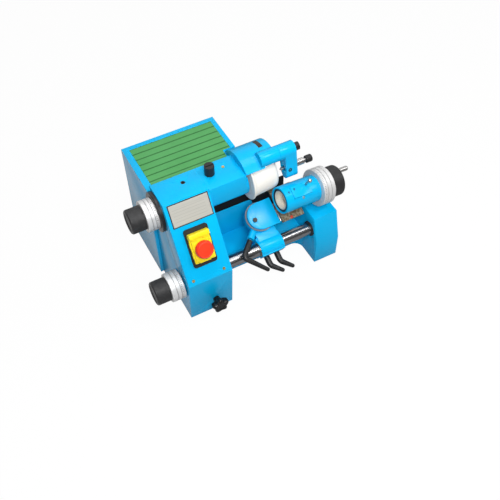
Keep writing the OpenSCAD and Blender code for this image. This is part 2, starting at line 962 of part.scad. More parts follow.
module switch_lid() {
    base = switch_plate_t + side_gap;
    color([1, 0.85, 0]) place() panel_frame() difference() {
        union() {
            translate([switch_x + lid_side, lid_v, base]) cube([lid_w, lid_l, lid_h - base]);
            translate([switch_x + lid_side, lid_v + lid_l - lid_step_l, base])
                cube([lid_w, lid_step_l, lid_h + lid_step_h - base]);
            translate([switch_x + lid_side, lid_v + lid_l, base + lid_hinge_r]) rod_x(lid_hinge_r, lid_w);
        }
        translate([stop_x, start_v, 0]) cylinder(r = start_r + lid_wall, h = lid_h - lid_wall);
        translate([stop_x, stop_v, 0]) cylinder(r = stop_stem_r + run_gap, h = 2 * lid_h);
    }
}

module stop_button() {
    color([0.9, 0.1, 0.05]) place() panel_frame() translate([stop_x, stop_v, 0]) {
        translate([0, 0, lid_h + stop_travel + stop_rise]) rotate_extrude() polygon([
            [0, 0], [stop_r, 0], [stop_r, stop_t / 2], [stop_crown_share * stop_r, stop_t], [0, stop_t]
        ]);
        translate([0, 0, switch_plate_t]) cylinder(r = stop_stem_r, h = lid_h + stop_travel + stop_rise);
    }
}

module start_button() {
    color([0.1, 0.6, 0.2]) place() panel_frame() translate([stop_x, start_v, -start_h])
        cylinder(r = start_r, h = start_h + switch_plate_t);
}

module brass_screws() {
    color(brass) place() {
        translate([oil_screw_x, spindle_y + top_screw_offset, column_h]) slotted_screw();
        panel_frame() for (x = [panel_screw_left, panel_screw_right])
            translate([x, panel_screw_v, 0]) slotted_screw();
    }
}

module motor_housing() {
    color([0.35, 0.37, 0.4]) place() translate([motor_x, motor_y, motor_z]) difference() {
        rod_x(motor_r, motor_l);
        translate([motor_shield_t, 0, 0]) rod_x(rotor_r + rotor_gap, motor_l - 2 * motor_shield_t);
        translate([-over, 0, 0]) rod_x(rotor_shaft_r + run_gap, motor_l + 2 * over);
    }
}

module motor_bracket() {
    color(steel) place() difference() {
        translate([motor_x + bracket_inset, motor_y - bracket_half, cabinet_wall]) {
            cube([motor_l - 2 * bracket_inset, 2 * bracket_half, bracket_plate_t]);
            for (x = [0, motor_l - 2 * bracket_inset - bracket_w])
                translate([x, 0, 0])
                    cube([bracket_w, 2 * bracket_half, motor_z - motor_r + bracket_rise - cabinet_wall]);
        }
        translate([motor_x - over, motor_y, motor_z]) rod_x(motor_r + seat_gap, motor_l + 2 * over);
    }
}

module motor_rotor() {
    color(steel) place() translate([0, motor_y, motor_z]) {
        translate([motor_x + motor_shield_t + rotor_end, 0, 0])
            rod_x(rotor_r, motor_l - 2 * motor_shield_t - 2 * rotor_end);
        translate([pulley_x - rotor_tail, 0, 0])
            rod_x(rotor_shaft_r, motor_x + motor_l - pulley_x + 2 * rotor_tail);
    }
}

module motor_pulley() {
    color([0.6, 0.6, 0.62]) place() translate([pulley_x, motor_y, motor_z])
        tube_x(motor_pulley_r, rotor_shaft_r + seat_gap, pulley_w);
}

module drive_belt() {
    p = [spindle_y, spindle_z];
    q = [motor_y, motor_z];
    small = spindle_pulley_r + belt_gap;
    large = motor_pulley_r + belt_gap;
    color([0.15, 0.12, 0.1]) place() translate([pulley_x + (pulley_w - belt_w) / 2, 0, 0]) difference() {
        strap_x(belt_w, p, small + belt_t, q, large + belt_t);
        translate([-over, 0, 0]) strap_x(belt_w + 2 * over, p, small, q, large);
    }
}

module quill_sleeve() {
    chamber_x = quill_cap;
    belt_angle = atan2(motor_z - spindle_z, motor_y - spindle_y);
    color(steel) at_spindle(quill_x) difference() {
        rod_x(quill_r, quill_l);
        translate([-over, 0, 0]) rod_x(screw_r + run_gap, quill_cap + 2 * over);
        translate([chamber_x, 0, 0]) rod_x(quill_r - quill_wall, quill_l);
        translate([pulley_x - window_margin - quill_x, 0, 0]) rotate([belt_angle, 0, 0])
            translate([0, 0, -quill_r + quill_wall / 2])
            cube([pulley_w + 2 * window_margin, quill_r + over, 2 * quill_r - quill_wall]);
    }
}

module spindle_bearings() {
    color(steel) for (x = [bearing_rear_x, bearing_front_x])
        at_spindle(x) tube_x(quill_r - quill_wall - seat_gap, shaft_r + run_gap, bearing_w);
}

module spindle_shaft() {
    color(steel) {
        at_spindle(shaft_x) rod_x(shaft_r, wheel_x - nose_flange_t - shaft_x);
        at_spindle(wheel_x - nose_flange_t) rod_x(nose_flange_r, nose_flange_t);
        at_spindle(wheel_x - nose_flange_t) rod_x(nose_r, nose_flange_t + nose_l);
    }
}

module spindle_pulley() {
    color([0.6, 0.6, 0.62]) at_spindle(pulley_x) tube_x(spindle_pulley_r, shaft_r + seat_gap, pulley_w);
}

module grinding_wheel() {
    end_r = wheel_r - wheel_taper;
    color([0.95, 0.93, 0.88]) at_spindle(wheel_x) turned_x([
        [0, nose_r + seat_gap], [0, wheel_r + wheel_lip - wheel_lip_t / 2],
        [wheel_lip_t / 2, wheel_r + wheel_lip],
        [wheel_lip_t, wheel_r + wheel_lip - wheel_lip_t / 2], [2 * wheel_lip_t, wheel_r],
        [wheel_l - wheel_round, end_r], [wheel_l, end_r - wheel_round], [wheel_l, end_r - wheel_rim_t],
        [wheel_back_t, end_r - wheel_rim_t], [wheel_back_t, nose_r + seat_gap]
    ]);
}

module wheel_nut() {
    color(steel) at_spindle(wheel_x + wheel_back_t) difference() {
        union() {
            rod_x(nut_washer_r, nut_washer_t);
            rotate([0, 90, 0]) cylinder(r = nut_r, h = nut_washer_t + nut_l, $fn = 6);
        }
        translate([-over, 0, 0]) rod_x(nose_r + seat_gap, nut_washer_t + nut_l + 2 * over);
    }
}

module upper_dial() {
    color(steel) at_spindle(-flange_t - side_gap - dial_l) {
        grooved(dial_l, upper_dial_r, dial_groove, dial_groove_w, dial_groove_shares, dial_chamfer);
        translate([-knob_l / 3, 0, 0])
            rod_x(screw_r, screw_reach + flange_t + side_gap + dial_l + knob_l / 3);
    }
}

module upper_knob() {
    color(black) at_spindle(-flange_t - side_gap - dial_l - knob_l) knurled_knob(screw_r);
}

module lower_dial() {
    color(steel) at_bar(-lower_dial_gap - lower_dial_l) {
        grooved(lower_dial_l, lower_dial_r, dial_groove, dial_groove_w, dial_groove_shares, dial_chamfer);
        translate([-knob_l / 3, 0, 0])
            rod_x(screw_r, screw_reach + lower_dial_gap + lower_dial_l + knob_l / 3);
    }
}

module lower_knob() {
    color(black) at_bar(-lower_dial_gap - lower_dial_l - knob_l) knurled_knob(screw_r);
}

module guide_bar() {
    color(steel) at_bar(bar_x) difference() {
        rod_x(bar_r, bar_l);
        translate([-over, 0, 0]) rod_x(screw_r + run_gap, bar_screw_depth + over);
    }
}

module bar_wiper() {
    color(black) at_bar(block_x - wiper_t) tube_x(wiper_r, bar_r + run_gap, wiper_t);
}

module star_knob() {
    color(black) place() translate([star_x, star_neck_y, star_z]) rotate([90, 0, 0]) {
        cylinder(r = star_neck_r, h = star_neck_l + over);
        translate([0, 0, star_neck_l]) linear_extrude(star_t) {
            circle(star_hub_r);
            for (i = [0 : star_lobes - 1])
                rotate(i * 360 / star_lobes) translate([star_r, 0]) circle(star_lobe_r);
        }
        translate([0, 0, -bar_y - bar_boss_r + star_neck_y])
            cylinder(r = star_screw_r, h = bar_y + bar_boss_r);
    }
}

module quill_lock_knob() {
    color(black) place() translate([lock_x, spindle_y, column_h + side_gap]) {
        difference() {
            union() {
                translate([0, 0, lock_foot]) cylinder(r = lock_r, h = lock_h - lock_foot);
                cylinder(r = lock_r - lock_foot, h = lock_h / 2);
            }
            translate([-lock_r - over, -lock_slot_w / 2, lock_h - lock_slot_depth])
                cube([2 * (lock_r + over), lock_slot_w, lock_slot_depth + over]);
        }
        screw_l = column_h - spindle_z - quill_r;
        translate([0, 0, -screw_l]) cylinder(r = lock_screw_r, h = screw_l + lock_h / 2);
    }
}

module dresser_pivot() {
    color(black) place() translate([0, boss_y, boss_z]) {
        translate([arm_x - side_gap - pivot_seat, 0, 0])
            rod_x(pivot_r, pivot_seat + arm_w + 2 * side_gap + over);
        translate([arm_x + arm_w + side_gap, 0, 0]) rod_x(pivot_head_r, pivot_head_l);
    }
}

module dresser_arm() {
    down = [dress_y - boss_y, dress_z - boss_z];
    arm_end = [dress_y, dress_z] + arm_drop * down / norm(down);
    color(blue) place() translate([arm_x, 0, 0]) difference() {
        union() {
            translate([0, boss_y, boss_z]) rod_x(boss_r, arm_step + over);
            translate([arm_step, 0, 0])
                strap_x(arm_w - arm_step, [boss_y, boss_z], boss_r, arm_end, arm_end_r);
        }
        translate([-over, boss_y, boss_z]) rod_x(pivot_r + run_gap, arm_w + 2 * over);
        translate([-over, dress_y, dress_z]) rod_x(dress_r + run_gap, arm_w + 2 * over);
    }
}

module dresser_rod() {
    body_x = tip_x + tip_l;
    body_l = arm_x + arm_w + rod_tail - body_x;
    color(steel) place() translate([0, dress_y, dress_z]) {
        translate([tip_x, 0, 0]) rotate([0, 90, 0]) cylinder(r1 = tip_r / 4, r2 = tip_r, h = diamond_l);
        translate([tip_x + diamond_l, 0, 0]) rod_x(tip_r, tip_l - diamond_l);
        translate([body_x, 0, 0]) rod_x(dress_r, body_l);
        translate([body_x + body_l, 0, 0]) rod_x(rod_neck_r, rod_neck_l + dress_knob_l / 2);
    }
}

module dresser_knob() {
    color(black) place() translate([arm_x + arm_w + rod_tail + rod_neck_l, dress_y, dress_z]) difference() {
        rod_x(dress_knob_r, dress_knob_l);
        translate([-over, 0, 0]) rod_x(rod_neck_r + seat_gap, dress_knob_l / 2 + over + seat_gap);
    }
}

module carriage_liner() {
    color(brass) on_carriage() translate([carriage_x, 0, 0])
        tube_x(bar_r + liner_t, bar_r + run_gap, carriage_w);
}

// Clamp lever boss on the ring's rim, pointing outwards and a little upwards
module lever_boss_frame() {
    translate([ring_x, ring_y, ring_base - platform_t / 2]) rotate([0, 0, lever_boss_turn])
        translate([ring_r, 0, 0]) rotate([0, -lever_boss_rise, 0]) children();
}

module carriage_body() {
    color(blue) on_carriage() difference() {
        union() {
            translate([carriage_x, -clamp_front, -clamp_low])
                cube([carriage_w, clamp_front + clamp_back, clamp_low + clamp_top]);
            difference() {
                translate([carriage_x, 0, 0]) rod_x(clamp_round, carriage_w);
                translate([carriage_x - over, -clamp_front - clamp_round, -clamp_round])
                    cube([carriage_w + 2 * over, clamp_round, 2 * clamp_round]);
            }
            translate([carriage_x, -slit_w / 2 - lug_t, -lug_drop])
                cube([carriage_w, 2 * lug_t + slit_w, lug_drop]);
            translate([ring_x, ring_y, ring_base - platform_t]) cylinder(r = ring_r, h = platform_t);
            translate([carriage_x + web_inset, 0, ring_base - platform_t])
                cube([carriage_w - 2 * web_inset, ring_y, web_t]);
            lever_boss_frame() translate([-lever_boss_r, 0, 0])
                rod_x(lever_boss_r, lever_boss_r + lever_boss_l);
            translate([ring_x, ring_y, ring_base - over])
                cylinder(r = pivot_stub_r, h = ring_t + slab_t / 2 + over);
        }
        translate([carriage_x - over, 0, 0]) rod_x(bar_r + liner_t + run_gap, carriage_w + 2 * over);
        translate([carriage_x - over, -slit_w / 2, -lug_drop - over])
            cube([carriage_w + 2 * over, slit_w, lug_drop + over]);
        for (x = [lever_left_x, lever_right_x]) translate([x, -slit_w / 2 - lug_t - over, -lever_drop])
            rotate([-90, 0, 0]) cylinder(r = stud_r + run_gap, h = stud_l + 2 * over);
        lever_boss_frame() translate([lever_boss_l - swivel_seat, 0, 0])
            rod_x(stud_r + run_gap, swivel_seat + over);
    }
}

module scale_ring() {
    color(steel) on_carriage() translate([ring_x, ring_y, ring_base]) difference() {
        cylinder(r = ring_r, h = ring_t);
        translate([0, 0, -over]) cylinder(r = pivot_stub_r + seat_gap, h = ring_t + 2 * over);
    }
}

module clamp_lever(x) {
    color(black) on_carriage() translate([x, -slit_w / 2 - lug_t - side_gap, -lever_drop]) {
        rotate([90, 0, 0]) cylinder(r = lever_hub_r, h = lever_hub_l);
        translate([0, lever_hub_r - lever_hub_l, 0]) rotate([0, 0, -lever_lean]) rotate([0, 90, 0])
            cylinder(r1 = lever_handle_r, r2 = lever_handle_tip_r, h = lever_handle_l);
        rotate([-90, 0, 0]) translate([0, 0, -over]) cylinder(r = stud_r, h = stud_l + over);
    }
}

module bar_clamp_lever_left() {
    clamp_lever(lever_left_x);
}

module bar_clamp_lever_right() {
    clamp_lever(lever_right_x);
}

module swivel_clamp_lever() {
    color(black) on_carriage() lever_boss_frame() translate([lever_boss_l + side_gap, 0, 0]) {
        rod_x(lever_hub_r, swivel_hub_l);
        translate([-swivel_seat, 0, 0]) rod_x(stud_r, swivel_seat + over);
        translate([swivel_hub_l, 0, 0]) sphere(r = lever_hub_r);
        translate([swivel_hub_l, 0, 0]) rotate([0, lever_boss_rise, 0]) rotate([0, 0, -lever_boss_turn])
            toward(swivel_handle)
            cylinder(r1 = swivel_handle_r, r2 = swivel_handle_tip_r, h = norm(swivel_handle));
    }
}

module swivel_slab() {
    color(blue) on_carriage() translate([ring_x, ring_y, slab_top - slab_t]) difference() {
        union() {
            cylinder(r = slab_r, h = slab_t);
            translate([0, -slab_r, 0]) cube([slab_l, 2 * slab_r, slab_t]);
        }
        translate([0, 0, -over]) cylinder(r = pivot_stub_r + run_gap, h = slab_t / 2 + 2 * over);
        translate([bolt_x, bolt_y, -over]) cylinder(r = bolt_shank_r + seat_gap, h = slab_t + 2 * over);
    }
}

module swivel_bolt() {
    color(black) on_carriage() translate([ring_x + bolt_x, ring_y + bolt_y, slab_top]) {
        cylinder(r = bolt_r, h = bolt_h, $fn = 6);
        translate([0, 0, -slab_t]) cylinder(r = bolt_shank_r, h = slab_t + over);
    }
}

// Ground plate beside the slab, with a tongue to it and two ears for the workhead's pin
module slide_table() {
    color([0.62, 0.6, 0.56]) on_carriage() difference() {
        union() {
            translate([table_x, bore_y - table_front, table_top - table_t])
                cube([table_l, table_front + table_back, table_t]);
            translate([ring_x + slab_l, ring_y - tongue_w / 2, table_top - table_t])
                cube([table_gap + over, tongue_w, tongue_t]);
            for (side = [-1, 1])
                translate([pin_x, bore_y + side * (foot_w / 2 + side_gap + ear_t / 2), 0]) {
                    translate([-ear_r, -ear_t / 2, table_top - over])
                        cube([2 * ear_r, ear_t, pin_h - table_top + over]);
                    translate([0, ear_t / 2, pin_h]) rotate([90, 0, 0]) cylinder(r = ear_r, h = ear_t);
                }
        }
        translate([pin_x, bore_y - foot_w, pin_h]) rotate([-90, 0, 0])
            cylinder(r = pin_r + seat_gap, h = 2 * foot_w);
    }
}

module tilt_pin() {
    pin_l = foot_w + 2 * side_gap + 2 * ear_t;
    color(steel) on_carriage() translate([pin_x, bore_y - pin_l / 2, pin_h]) rotate([-90, 0, 0])
        cylinder(r = pin_r, h = pin_l);
}

module workhead_body() {
    color(blue) on_workhead() difference() {
        union() {
            rod_x(workhead_r, workhead_l);
            translate([rib_x, -rib_w / 2, workhead_r - rib_bed]) cube([rib_l, rib_w, rib_bed + rib_rise]);
            translate([pin_along - foot_pad / 2, -foot_w / 2, -pin_drop])
                cube([foot_pad, foot_w, pin_drop]);
            translate([pin_along, -foot_w / 2, -pin_drop]) rotate([-90, 0, 0])
                cylinder(r = foot_round, h = foot_w);
        }
        translate([-over, 0, 0]) rod_x(work_spindle_r + run_gap, workhead_l + 2 * over);
        translate([pin_along, -foot_w, -pin_drop]) rotate([-90, 0, 0])
            cylinder(r = pin_r + run_gap, h = 2 * foot_w);
        translate([plunger_x, plunger_y, workhead_r - plunger_depth])
            cylinder(r = plunger_r + run_gap, h = workhead_r);
    }
}

module work_spindle() {
    color(black) on_workhead() difference() {
        union() {
            translate([spindle_inset, 0, 0]) rod_x(work_spindle_r, workhead_l + side_gap - spindle_inset);
            translate([workhead_l, 0, 0]) rod_x(spindle_tail_r, index_t + drawbar_l / 2);
        }
        translate([-over, 0, 0]) rod_x(collet_r + seat_gap, collet_l + collet_inset + over);
        translate([collet_l, 0, 0]) rod_x(collet_bore_r + collet_relief, workhead_l + index_t + drawbar_l);
    }
}

module collet() {
    color(steel) on_workhead() translate([collet_inset, 0, 0]) difference() {
        tube_x(collet_r, collet_bore_r, collet_l);
        translate([-over, 0, 0]) rod_x(collet_mouth_r, collet_mouth_l + over);
    }
}

module index_dial() {
    color(steel) on_workhead() translate([workhead_l + side_gap, 0, 0]) difference() {
        grooved(index_t, index_r, index_groove, index_groove_w, index_groove_shares, index_chamfer);
        translate([-over, 0, 0]) rod_x(spindle_tail_r + seat_gap, index_t + 2 * over);
    }
}

module drawbar_knob() {
    color(black) on_workhead() translate([workhead_l + side_gap + index_t, 0, 0]) difference() {
        rod_x(drawbar_r, drawbar_l);
        translate([-over, 0, 0]) rod_x(spindle_tail_r + seat_gap, drawbar_l / 2 + over);
        translate([drawbar_l - crank_seat, crank_offset, 0]) rod_x(crank_r + seat_gap, crank_seat + over);
    }
}

module crank_pin() {
    pin_start = workhead_l + side_gap + index_t + drawbar_l - crank_seat;
    color(steel) on_workhead() translate([pin_start, crank_offset, 0]) rod_x(crank_r, crank_seat + crank_l);
}

module index_plunger() {
    color(steel) on_workhead() translate([plunger_x, plunger_y, workhead_r - plunger_depth]) {
        cylinder(r = plunger_r, h = plunger_depth + rib_rise + plunger_stand);
        translate([0, 0, plunger_depth + rib_rise + plunger_stand]) sphere(r = plunger_ball_r);
    }
}

column_casting();
base_casting();
cabinet_shell();
cabinet_cover();
cover_screws();
tray_mat();
spindle_head();
wheel_guard();
socket_screws();
splash_wall();
dial_flange();
nameplate();
switch_plate();
switch_block();
switch_lid();
stop_button();
start_button();
brass_screws();
motor_housing();
motor_bracket();
motor_rotor();
motor_pulley();
drive_belt();
bar_wiper();
cord_inlet();
quill_sleeve();
spindle_bearings();
spindle_shaft();
spindle_pulley();
grinding_wheel();
wheel_nut();
upper_dial();
upper_knob();
lower_dial();
lower_knob();
guide_bar();
star_knob();
quill_lock_knob();
dresser_pivot();
dresser_arm();
dresser_rod();
dresser_knob();
carriage_liner();
carriage_body();
scale_ring();
bar_clamp_lever_left();
bar_clamp_lever_right();
swivel_clamp_lever();
swivel_slab();
swivel_bolt();
slide_table();
tilt_pin();
workhead_body();
work_spindle();
collet();
index_dial();
drawbar_knob();
crank_pin();
index_plunger();
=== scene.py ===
"""Looks of a bench tool and cutter grinder: softened enamelled castings, knurled knobs, graduated dials,
a vitrified cup wheel, a ribbed mat, and the studio they stand in."""
import json
import math
from contextlib import contextmanager

import bmesh
import bpy
import numpy as np
from mathutils import Matrix

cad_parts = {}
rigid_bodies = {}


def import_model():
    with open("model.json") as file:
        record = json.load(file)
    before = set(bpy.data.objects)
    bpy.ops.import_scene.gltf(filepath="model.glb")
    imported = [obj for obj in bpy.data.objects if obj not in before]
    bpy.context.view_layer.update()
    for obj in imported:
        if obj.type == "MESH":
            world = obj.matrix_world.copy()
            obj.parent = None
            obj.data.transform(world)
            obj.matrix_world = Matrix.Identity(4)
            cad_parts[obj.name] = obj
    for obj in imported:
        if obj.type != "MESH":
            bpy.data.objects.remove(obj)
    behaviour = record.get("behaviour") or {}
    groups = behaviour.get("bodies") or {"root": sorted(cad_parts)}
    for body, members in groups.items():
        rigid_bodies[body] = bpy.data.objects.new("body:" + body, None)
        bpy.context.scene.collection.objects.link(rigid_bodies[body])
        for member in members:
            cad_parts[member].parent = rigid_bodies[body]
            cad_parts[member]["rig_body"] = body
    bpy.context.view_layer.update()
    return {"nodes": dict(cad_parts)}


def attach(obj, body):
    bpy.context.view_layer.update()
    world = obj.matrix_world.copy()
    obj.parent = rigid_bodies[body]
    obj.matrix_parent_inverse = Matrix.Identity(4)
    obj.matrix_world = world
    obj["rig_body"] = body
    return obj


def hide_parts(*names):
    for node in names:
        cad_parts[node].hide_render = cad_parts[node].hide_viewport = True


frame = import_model()
nodes = frame["nodes"]
TAU = 2 * math.pi
MM = 1000  # in a metre

# Places, in millimetres from the column's left face, its front crease and the floor
FOOT_MIDDLE = np.array([191.5, 154.5, 0.0])
SPINDLE_Y, SPINDLE_Z = 134.0, 236.0
BAR_Y, BAR_Z = 44.0, 93.0
DRESSER_Y, DRESSER_Z = 97.0, 260.0
CREASE_H, PANEL_RUN, COLUMN_H = 122.8, 97.0, 285.5
STAR_PLACE = (62, 6.2, 40)
WORKHEAD_PLACE = (255, 72.04, 84)  # from the bar, in the carriage's directions

# Angles at rest: the carriage's swing about the bar, the workhead's tilt and the panel's slope
SWING = math.radians(30)
RELIEF = math.radians(9)
PANEL_SLOPE = math.atan2(COLUMN_H - CREASE_H, PANEL_RUN)

RIGHT = np.array([1.0, 0.0, 0.0])
BACK = np.array([0.0, 1.0, 0.0])
UP = np.array([0.0, 0.0, 1.0])
CARRIAGE_BACK = np.array([0.0, math.cos(SWING), math.sin(SWING)])
CARRIAGE_UP = np.array([0.0, -math.sin(SWING), math.cos(SWING)])
WORK_ALONG = math.cos(RELIEF) * RIGHT - math.sin(RELIEF) * CARRIAGE_UP
WORK_UP = math.sin(RELIEF) * RIGHT + math.cos(RELIEF) * CARRIAGE_UP
PANEL_UP = np.array([0.0, math.cos(PANEL_SLOPE), math.sin(PANEL_SLOPE)])
PANEL_OUT = np.array([0.0, -math.sin(PANEL_SLOPE), math.cos(PANEL_SLOPE)])


class Axes:
    """An origin in millimetres and three directions."""

    def __init__(self, origin, first, second, third):
        self.origin = (np.array(origin, float) - FOOT_MIDDLE) / MM
        self.first, self.second, self.third = first, second, third

    def at(self, a, b, c):
        """A point in metres at three distances in millimetres, for numbers or whole arrays."""
        parts = [np.asarray(v, float)[..., None] / MM for v in (a, b, c)]
        return self.origin + parts[0] * self.first + parts[1] * self.second + parts[2] * self.third

    def place(self, a, b, c):
        """The same point in millimetres, as an origin of other axes."""
        return self.at(a, b, c) * MM + FOOT_MIDDLE


MACHINE = Axes((0, 0, 0), RIGHT, BACK, UP)
PANEL = Axes((0, 0, CREASE_H), RIGHT, PANEL_UP, PANEL_OUT)
SPINDLE = Axes((0, SPINDLE_Y, SPINDLE_Z), RIGHT, BACK, UP)
BAR = Axes((0, BAR_Y, BAR_Z), RIGHT, BACK, UP)
DRESSER = Axes((0, DRESSER_Y, DRESSER_Z), RIGHT, BACK, UP)
CARRIAGE = Axes((0, BAR_Y, BAR_Z), RIGHT, CARRIAGE_BACK, CARRIAGE_UP)
WORKHEAD = Axes(CARRIAGE.place(*WORKHEAD_PLACE), WORK_ALONG, CARRIAGE_BACK, WORK_UP)


# Surfaces

MERGE_GAP = 1e-6  # metres: grid points nearer than this are one
CAD_MERGE_GAP = 2e-6  # metres: the same for the loose triangles of a CAD node
FLAT_ANGLE = math.radians(0.4)  # faces of a casting that meet at less are one
EDGE_ANGLE = math.radians(32)  # edges that bend more are rounded
TINY = 1e-9
TUBE_SIDES = 28
BLOCK_SEGMENTS = 4


def unit(v):
    """The direction of a vector."""
    return v / np.linalg.norm(v)


def ramp(distance, width):
    """0 up to a distance of nothing, 1 from the width on, and straight between."""
    return np.clip(distance / width, 0, 1)


def dome(depth, radius):
    """The share of a ball's radius at a depth d under its pole: sqrt(1 - (1 - d / radius)^2), and 1 past
    its middle."""
    return np.sqrt(np.clip(1 - (1 - ramp(depth, radius)) ** 2, 0, 1))


def arc(a, b, c, t):
    """The quadratic curve p(t) = (1-t)^2 a + 2t(1-t) b + t^2 c, from a to c and drawn towards b."""
    return (1 - t) ** 2 * a + 2 * t * (1 - t) * b + t ** 2 * c


def placed(name, data):
    """A new object of some data, in the scene."""
    obj = bpy.data.objects.new(name, data)
    bpy.context.scene.collection.objects.link(obj)
    return obj


@contextmanager
def opened(mesh):
    """A mesh opened for editing, and written back afterwards."""
    work = bmesh.new()
    work.from_mesh(mesh)
    yield work
    work.to_mesh(mesh)
    work.free()


def settle(obj, body, finish, stands_for=(), sharp=35):
    """Smooths a finished piece but for edges over sharp degrees, gives it its finish, and lets it ride
    on its body."""
    mesh = obj.data
    mesh.polygons.foreach_set("use_smooth", np.ones(len(mesh.polygons), bool))
    mesh.set_sharp_from_angle(angle=math.radians(sharp))
    mesh.materials.clear()
    mesh.materials.append(finish)
    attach(obj, body)
    if stands_for:
        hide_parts(*stands_for)


def stand_in(obj, node, finish, sharp=35):
    """Settles a piece that stands for a node on the node's body, and hides the node."""
    settle(obj, nodes[node]["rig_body"], finish, [node], sharp)


def grid_piece(name, points, closed=True):
    """A mesh of quads over a grid of points; a closed grid joins its last column to its first.
    Doubled points, as at poles, are merged, and the faces are turned outwards."""
    rows, columns = points.shape[:2]
    row = np.arange(rows - 1)[:, None] * columns
    column = np.arange(columns if closed else columns - 1)[None, :]
    next_row, next_column = row + columns, (column + 1) % columns
    quads = np.stack([row + column, row + next_column, next_row + next_column, next_row + column], -1)
    mesh = bpy.data.meshes.new(name)
    mesh.from_pydata(points.reshape(-1, 3).tolist(), [], quads.reshape(-1, 4).tolist())
    with opened(mesh) as work:
        bmesh.ops.remove_doubles(work, verts=work.verts, dist=MERGE_GAP)
        bmesh.ops.recalc_face_normals(work, faces=work.faces)
    return placed(name, mesh)


def rounded_profile(corners, steps=5):
    """A polyline of (along, radius, rounding) corners, in which each corner becomes an arc in some steps
    between the two points that lie the rounding away from it."""
    pts = np.array([c[:2] for c in corners], float)
    out = [pts[0]]
    for i in range(1, len(pts) - 1):
        before, here, after = pts[i - 1], pts[i], pts[i + 1]
        reach = corners[i][2]
        a = here + (before - here) * min(0.5, reach / max(np.linalg.norm(before - here), TINY))
        c = here + (after - here) * min(0.5, reach / max(np.linalg.norm(after - here), TINY))
        out.extend(arc(a, here, c, np.linspace(0, 1, steps if reach else 1)[:, None]))
    out.append(pts[-1])
    return np.array(out)


def refine(profile, step):
    """The profile with extra points, so that no stretch is longer than step."""
    out = [profile[:1]]
    for a, b in zip(profile[:-1], profile[1:]):
        count = max(1, int(math.ceil(np.linalg.norm(b - a) / step)))
        out.append(a + (b - a) * np.linspace(0, 1, count + 1)[1:, None])
    return np.concatenate(out)


def turned(name, axes, profile, segments, relief=None, middle=(0.0, 0.0)):
    """A profile of (along, radius) points turned about the first direction of axes:
    p(s, a) = along(s), middle + (radius(s) + relief(along, a)) (cos a, sin a)."""
    angle = np.linspace(0, TAU, segments, endpoint=False)[None, :]
    along, radius = profile[:, :1], profile[:, 1:2]
    reach = radius + (0 if relief is None else np.where(radius > 0, relief(along, angle), 0))
    return grid_piece(name, axes.at(along + 0 * angle, middle[0] + reach * np.cos(angle),
                                    middle[1] + reach * np.sin(angle)))


def lathe(name, axes, corners, node, finish, step, segments, relief=None, steps=5, middle=(0.0, 0.0)):
    """A turned piece with rounded corners, which stands for a node."""
    shape = refine(rounded_profile(corners, steps), step)
    stand_in(turned(name, axes, shape, segments, relief, middle), node, finish)


def tube(name, path, radii):
    """A round bar along a path of points in metres: p(s, a) = path(s) + radius(s) (cos a u(s) + sin a v(s)),
    where u and v are square to the path's direction and carried along it without twist."""
    step = np.gradient(path, axis=0)
    step /= np.linalg.norm(step, axis=1, keepdims=True)
    u = np.zeros_like(step)
    u[0] = unit(np.cross(step[0], UP if abs(step[0] @ UP) < 0.9 else RIGHT))
    for i in range(1, len(step)):
        u[i] = unit(u[i - 1] - (u[i - 1] @ step[i]) * step[i])
    v = np.cross(step, u)
    angle = np.linspace(0, TAU, TUBE_SIDES, endpoint=False)[None, :, None]
    radii = np.asarray(radii, float)[:, None, None] / MM
    return grid_piece(name, path[:, None] + radii * (np.cos(angle) * u[:, None] + np.sin(angle) * v[:, None]))


def soften(mesh, width, segments):
    """Rounds a mesh's sharp edges to a width in millimetres."""
    with opened(mesh) as work:
        sharp = [e for e in work.edges if len(e.link_faces) == 2 and e.calc_face_angle(0) > EDGE_ANGLE]
        bmesh.ops.bevel(work, geom=sharp, offset=width / MM, offset_type="OFFSET", segments=segments, profile=0.5,
                        affect="EDGES", clamp_overlap=True, loop_slide=True)
        bmesh.ops.recalc_face_normals(work, faces=work.faces)


def softened(node, width, segments, finish):
    """A copy of a casting with its sharp edges rounded, which stands for it."""
    mesh = nodes[node].data.copy()
    with opened(mesh) as work:
        bmesh.ops.remove_doubles(work, verts=work.verts, dist=CAD_MERGE_GAP)
        bmesh.ops.dissolve_limit(work, angle_limit=FLAT_ANGLE, verts=work.verts, edges=work.edges)
    soften(mesh, width, segments)
    stand_in(placed(node + "_soft", mesh), node, finish)


def blocks(name, axes, boxes):
    """Boxes in one piece, each given by two opposite corners in axes and the rounding of its edges."""
    pick = np.array([[0, 0, 0], [1, 0, 0], [1, 1, 0], [0, 1, 0], [0, 0, 1], [1, 0, 1], [1, 1, 1], [0, 1, 1]])
    faces = [(0, 3, 2, 1), (4, 5, 6, 7), (0, 1, 5, 4), (1, 2, 6, 5), (2, 3, 7, 6), (3, 0, 4, 7)]
    whole = bmesh.new()
    for low, high, rounding in boxes:
        corners = np.where(pick == 1, np.array(high, float), np.array(low, float))
        box = bpy.data.meshes.new(name)
        box.from_pydata(axes.at(*corners.T).tolist(), [], faces)
        soften(box, rounding, BLOCK_SEGMENTS)
        whole.from_mesh(box)
        bpy.data.meshes.remove(box)
    mesh = bpy.data.meshes.new(name)
    whole.to_mesh(mesh)
    whole.free()
    return placed(name, mesh)


# Finishes


